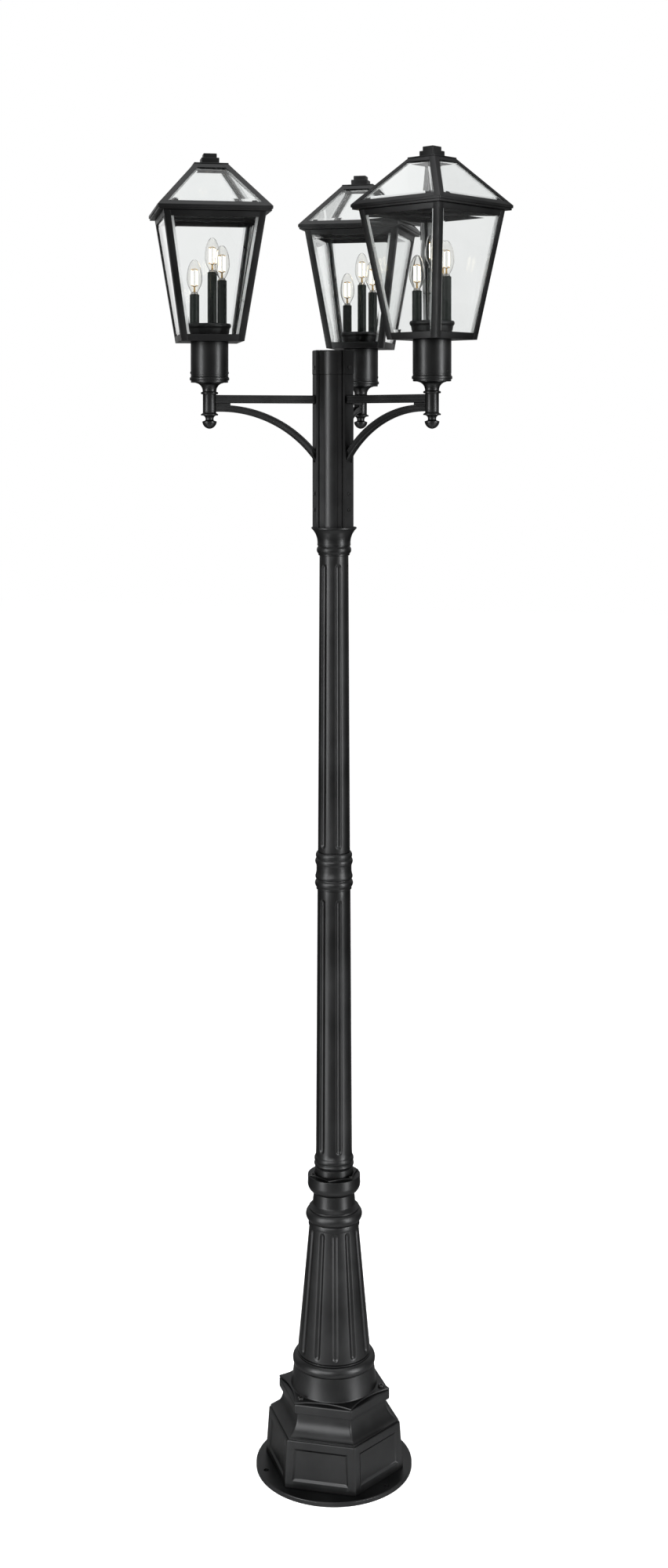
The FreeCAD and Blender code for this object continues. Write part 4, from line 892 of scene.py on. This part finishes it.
def buildRoof(side, body):
    foot = standing(f"roof_frame_{side}")[0]
    eave, eaveTop, topHalf, rise, wall = (roof[key] for key in ("eave", "eaveTop", "topHalf", "rise", "wall"))
    inward = eave - topHalf
    slant = math.hypot(inward, rise)
    skinRun = wall * slant / rise  # the skin's thickness measured level

    def slope(along, under=0.0):
        reach = eave - roof["shy"] - under * rise / slant - inward * along / slant
        return reach, eaveTop + rise * along / slant - under * inward / slant

    footRail, headRail = roof["footRail"], slant - roof["headRail"]
    edge, under, behind = roof["edge"], roof["flange"], eave - 2 * skinRun
    fascia = contour(*roof["fascia"], (*slope(footRail), edge), (*slope(footRail, wall), edge),
                     (behind, eaveTop), (behind, under[1]), under)
    topRail = contour((*slope(headRail), edge), slope(slant), slope(slant, wall),
                      (*slope(headRail, wall), edge))
    top = foot + eaveTop + rise
    shells = [squareShell(side, line, roof["corner"], foot) for line in (fascia, topRail)]
    shells += cornerBars(side, (eave, foot + eaveTop), (topHalf, top), roof["hip"], skinRun, roof["corner"])
    shells.append(squareShell(side, contour(*roof["plate"]), roof["corner"], top, loop=False))
    # a small clip holds each lower corner of a pane, lying on the slope inside the rail
    half, thick, edge = clip["width"] / 2, clip["thick"], clip["edge"]
    section = contour((-half, 0, edge), (half, 0, edge), (half, thick, edge), (-half, thick, edge))
    reach, level = slope(clip["slide"], wall)
    aside = reach - roof["hip"] - clip["inset"]
    for out, across in fourFaces(lanternHeadings[side]):
        climb, proud = (rise * upward - inward * out) / slant, (inward * upward + rise * out) / slant
        for hand in (-1, 1):
            origin = np.append(armEnd(side), foot + level) + reach * out + hand * aside * across
            path = origin + np.array([0, clip["length"]])[:, None] * climb
            shells.append(sweptShell(section, path, across, proud))
    for hand in (-1, 1):
        out = hand * heading(lanternHeadings[side])
        origin = np.append(armEnd(side), foot + eaveScrew["level"]) + eaveScrew["reach"] * out
        shells.append(screwShell(eaveScrew, origin, out))
    addPiece(f"roofFrame.{side}", shells, "coat", body, f"roof_frame_{side}")
    lean, ends = -math.atan(inward / rise), (footRail, headRail)
    strips = bevelStrips(side, foot + eaveTop, eave, lean, roof["hip"], ends, roof["bevelTuck"])
    addPiece(f"roofPaneBevels.{side}", strips, "bevel", body)


def buildFinial(side, body):
    foot, tall = standing(f"roof_finial_{side}")
    shell = squareShell(side, outline(finial, tall), finial["corner"], foot, loop=False)
    addPiece(f"roofFinialBlock.{side}", [shell], "coat", body, f"roof_finial_{side}")


# lamps

lampCup = {
    "columns": 96, "up": [(8, 0), (32, 0, 0.8), (45.5, 27.5, 0, 2.5)],
    "down": [(46.2, -9.5), (46.8, 0, 0, 2.1), (8, 0)],
}
sleeve = {
    "columns": 48, "up": [(9.55, 0), (10.95, 0, 0.3), (10.75, 3)], "down": [(10.75, 0, 0.5), (9.55, 0, 0.4)],
}
bulb = {
    "height": 79, "collar": 6, "neck": 7.8, "belly": 17.4, "bellyHeight": 28, "bellySteps": 14,
    "tipHeight": 45, "tipSteps": 26, "tip": 0.3, "wall": 0.8, "columns": 48,
}
bulbCap = {
    "thread": 5.55, "ridge": 0.35, "foot": -20.6, "top": -0.6, "turns": 6, "turnSteps": 8, "columns": 40,
    "collar": [(6.2, 0.4), (8.3, 0.4, 0.8), (8.3, 2.6, 0.6), (7.4, 3.2, 0.3), (7.4, 5.5, 0.3), (1, 5.5)],
}
filament = {
    "spread": 5.2, "turn": 45, "tipLevels": (19, 54),
    "rod": {"columns": 10, "up": [(1.05, 22), (1.05, 54)]},
    "tip": {"columns": 10, "up": [(0.63, 0), (1.155, 0.5), (1.155, 2.5), (0.63, 3)]},
    "stem": {"columns": 20, "up": [(2.72, 6), (2.04, 9), (1.7, 17), (4.93, 18.4), (4.93, 19)]},
    "hood": {"columns": 20, "up": [(4.93, 57), (4.93, 57.5), (0.85, 58.5)]},
}


def envelopeLine(shrink):
    # belly: radius = neck + (belly - neck) sin(u quarter turn)
    # tip: radius = belly cos(a), height = tip height sin(a)
    neck, belly, collar, tip = bulb["neck"], bulb["belly"], bulb["collar"], bulb["tip"]
    u = np.linspace(0, 1, bulb["bellySteps"])[:-1]
    a = np.linspace(0, 1, bulb["tipSteps"]) * math.pi / 2
    swell = neck + (belly - neck) * np.sin(u * math.pi / 2)
    radius = np.concatenate([swell, np.maximum(belly * np.cos(a), tip)])
    height = np.concatenate([u * bulb["bellyHeight"], bulb["bellyHeight"] + np.sin(a) * bulb["tipHeight"]])
    scale = 1 - shrink / (bulb["height"] - collar)
    return np.column_stack([np.maximum(radius - shrink, tip / 2), collar + height * scale])


def buildBulb(side, name, centre, seat):
    body, ending = f"lamp_{name}_{side}", f"{name}.{side}"
    where = {"centre": centre, "level": seat}
    wall = np.concatenate([envelopeLine(0.0), envelopeLine(bulb["wall"])[::-1]])
    shell = gridShell(turnedGrid(wall, bulb["columns"], **where))
    addPiece(f"bulbEnvelope.{ending}", [shell], "bulb", body, f"bulb_{name}_{side}")
    # the thread is a row of ridges: radius = thread + ridge cos(turns)
    share = np.linspace(0, 1, bulbCap["turnSteps"] * bulbCap["turns"])
    ridges = bulbCap["thread"] + bulbCap["ridge"] * np.cos(share * bulbCap["turns"] * fullTurn)
    thread = np.column_stack([ridges, bulbCap["foot"] + share * (bulbCap["top"] - bulbCap["foot"])])
    line = np.concatenate([thread, contour(*bulbCap["collar"])])
    shell = gridShell(turnedGrid(line, bulbCap["columns"], **where), loop=False)
    addPiece(f"bulbCap.{ending}", [shell], "nickel", body)
    rods, brass = [], []
    for out, _ in fourFaces(filament["turn"]):
        spot = centre + (out * filament["spread"] * math.sqrt(2))[:2]
        rods.append(turnedShell(filament["rod"], centre=spot, level=seat))
        brass += [turnedShell(filament["tip"], centre=spot, level=seat + level)
                  for level in filament["tipLevels"]]
    brass += [turnedShell(filament[part], **where) for part in ("stem", "hood")]
    addPiece(f"bulbFilaments.{ending}", rods, "glow", body)
    addPiece(f"bulbStem.{ending}", brass, "brass", body)


def buildLamps(side, body):
    foot = standing(f"candle_sleeves_{side}")[0]
    shells = []
    for name in ("tall", "low", "mid"):
        low, high = nodeBox(f"bulb_{name}_{side}")
        centre, seat = (low + high)[:2] / 2, high[2] - bulb["height"]
        shells.append(turnedShell(sleeve, seat - foot, centre=centre, level=foot))
        buildBulb(side, name, centre, seat)
    addPiece(f"candleSleeves.{side}", shells, "sleeve", body, f"candle_sleeves_{side}")


for side in lanternHeadings:
    lantern, lid = f"lantern_{side}", f"roof_{side}"
    buildFitter(side, lantern)
    buildCage(side, lantern)
    buildRoof(side, lid)
    buildFinial(side, lid)
    turnedPiece(f"lampCupTurning.{side}", f"lamp_cup_{side}", lampCup, lantern, armEnd(side))
    buildLamps(side, lantern)
    for part, finish in (("side_glass", "pane"), ("roof_glass", "roofPane"), ("lamp_sockets", "ceramic")):
        paint(f"{part}_{side}", finish)
    print("lantern built:", side, len(pieces), "pieces")


# camera

view = {"azimuth": 12.9, "distance": 4.3, "eye": 2.374, "sensor": 36, "lens": 43.0, "shiftY": -0.2265}


def around(bearing, distance, height):
    return distance * math.sin(bearing), -distance * math.cos(bearing), height


viewTurn = math.radians(view["azimuth"])
lens = bpy.data.cameras.new("photoCamera")
lens.sensor_width, lens.lens, lens.shift_y = view["sensor"], view["lens"], view["shiftY"]
camera = addObject("photoCamera", lens)
camera.location = around(viewTurn, view["distance"], view["eye"])
camera.rotation_euler = (math.pi / 2, 0, viewTurn)
bpy.context.scene.camera = camera


# floor

floor = {
    "size": 40.0, "colour": (0.86, 0.86, 0.86, 1), "mark": (0.84, 0.84, 0.84, 1), "scale": 0.8, "rough": 0.9,
    # gloss is the floor's colour in reflections away from the post: painted shade
    "gloss": (0.4, 0.4, 0.4, 1), "fade": (0.5, 1.1), "lift": 0.745,
}


def buildFloor():
    half = floor["size"] / 2
    mesh = bpy.data.meshes.new("studioFloor")
    corners = [(-half, -half, 0), (half, -half, 0), (half, half, 0), (-half, half, 0)]
    mesh.from_pydata(corners, [], [(0, 1, 2, 3)])
    finish, tree, shader = newFinish("paleFloor")
    colour = blendColour(tree, noise(tree, floor["scale"]), floor["mark"], floor["colour"])
    path = addNode(tree, "LightPath").outputs
    # in gloss the floor's colour is painted darker away from the post, a painted shade that shows only in
    # reflections
    spot = addNode(tree, "TexCoord").outputs["Object"]
    away = addNode(tree, "VectorMath", {0: spot}, "LENGTH").outputs["Value"]
    dimmed = reckon(tree, "MULTIPLY", path["Is Glossy Ray"], blendValue(tree, away, 0.0, 1.0, floor["fade"]))
    # seen straight or through glass, the floor is lifted to the white of the background
    through = reckon(tree, "SUBTRACT", path["Is Transmission Ray"], path["Glossy Depth"])
    seen = reckon(tree, "ADD", path["Is Camera Ray"], through)
    wire(tree, shader, {
        "Base Color": mixColour(tree, dimmed, colour, floor["gloss"]), "Roughness": floor["rough"],
        "Specular IOR Level": 0.0, "Emission Color": white,
        "Emission Strength": reckon(tree, "MULTIPLY", seen, floor["lift"]),
    })
    mesh.materials.append(finish)
    addObject("studioFloor", mesh)


# light and background

studio = {
    "surround": 0.3, "backdrop": (0.45, 0.65),
    "softboxes": {
        # bearing from the camera's side, distance, height of the middle, size, watts, tilt down, spread;
        # the three angles are in degrees
        "left": (-51, 4.2, 2.2, (0.6, 3.4), 92, 0, 180),
        "right": (56, 4.2, 2.2, (0.6, 3.4), 114, 0, 180),
        "lowLeft": (-51, 1.7, 0.3, (0.5, 0.5), 5.2, 0, 180),
        "lowRight": (56, 1.7, 0.3, (0.5, 0.5), 5.2, 0, 180),
        "front": (-22, 2.9, 1.75, (1.8, 2.4), 5.6, 27, 50),
    },
    "skyHeight": 6.5, "skySize": 5.0, "skyWatts": 120,
}


def buildLights():
    for name, (swing, distance, height, size, watts, tilt, spread) in studio["softboxes"].items():
        bearing = math.radians(view["azimuth"] + swing)
        lamp = bpy.data.lights.new(f"softbox.{name}", "AREA")
        lamp.shape, lamp.energy, lamp.spread = "RECTANGLE", watts, math.radians(spread)
        lamp.size, lamp.size_y = size
        holder = addObject(f"softbox.{name}", lamp)
        holder.location = around(bearing, distance, height)
        holder.rotation_euler = (math.pi / 2 - math.radians(tilt), 0, bearing)
        holder.visible_camera = holder.visible_transmission = False
    lamp = bpy.data.lights.new("overhead", "AREA")
    lamp.shape, lamp.size, lamp.energy = "SQUARE", studio["skySize"], studio["skyWatts"]
    addObject("overhead", lamp).location = (0, 0, studio["skyHeight"])


def buildSurround():
    world = bpy.data.worlds.new("whiteStudio")
    world.use_nodes = True
    tree = world.node_tree
    dim, bright = tree.nodes["Background"], addNode(tree, "Background", {"Color": white})
    wire(tree, dim, {"Color": white, "Strength": studio["surround"]})
    # straight and through glass the room is white all round; gloss shows white only near the direction of the
    # backdrop behind the object, and the dim room elsewhere
    ray, behind = addNode(tree, "TexCoord").outputs["Generated"], (-math.sin(viewTurn), math.cos(viewTurn), 0)
    near = addNode(tree, "VectorMath", {0: ray, 1: behind}, "DOT_PRODUCT").outputs["Value"]
    path = addNode(tree, "LightPath").outputs
    offside = blendValue(tree, near, 1.0, 0.0, studio["backdrop"])
    dimmed = reckon(tree, "MULTIPLY", path["Glossy Depth"], offside)
    bounced = reckon(tree, "ADD", path["Is Glossy Ray"], path["Is Transmission Ray"])
    shown = reckon(tree, "MULTIPLY", bounced, reckon(tree, "SUBTRACT", 1.0, dimmed))
    seen = reckon(tree, "ADD", path["Is Camera Ray"], shown)
    mixShaders(tree, seen, dim.outputs["Background"], bright.outputs["Background"], "World Output")
    bpy.context.scene.world = world


buildFloor()
buildLights()
buildSurround()
bpy.context.scene.view_settings.view_transform = "Standard"
print("studio built")
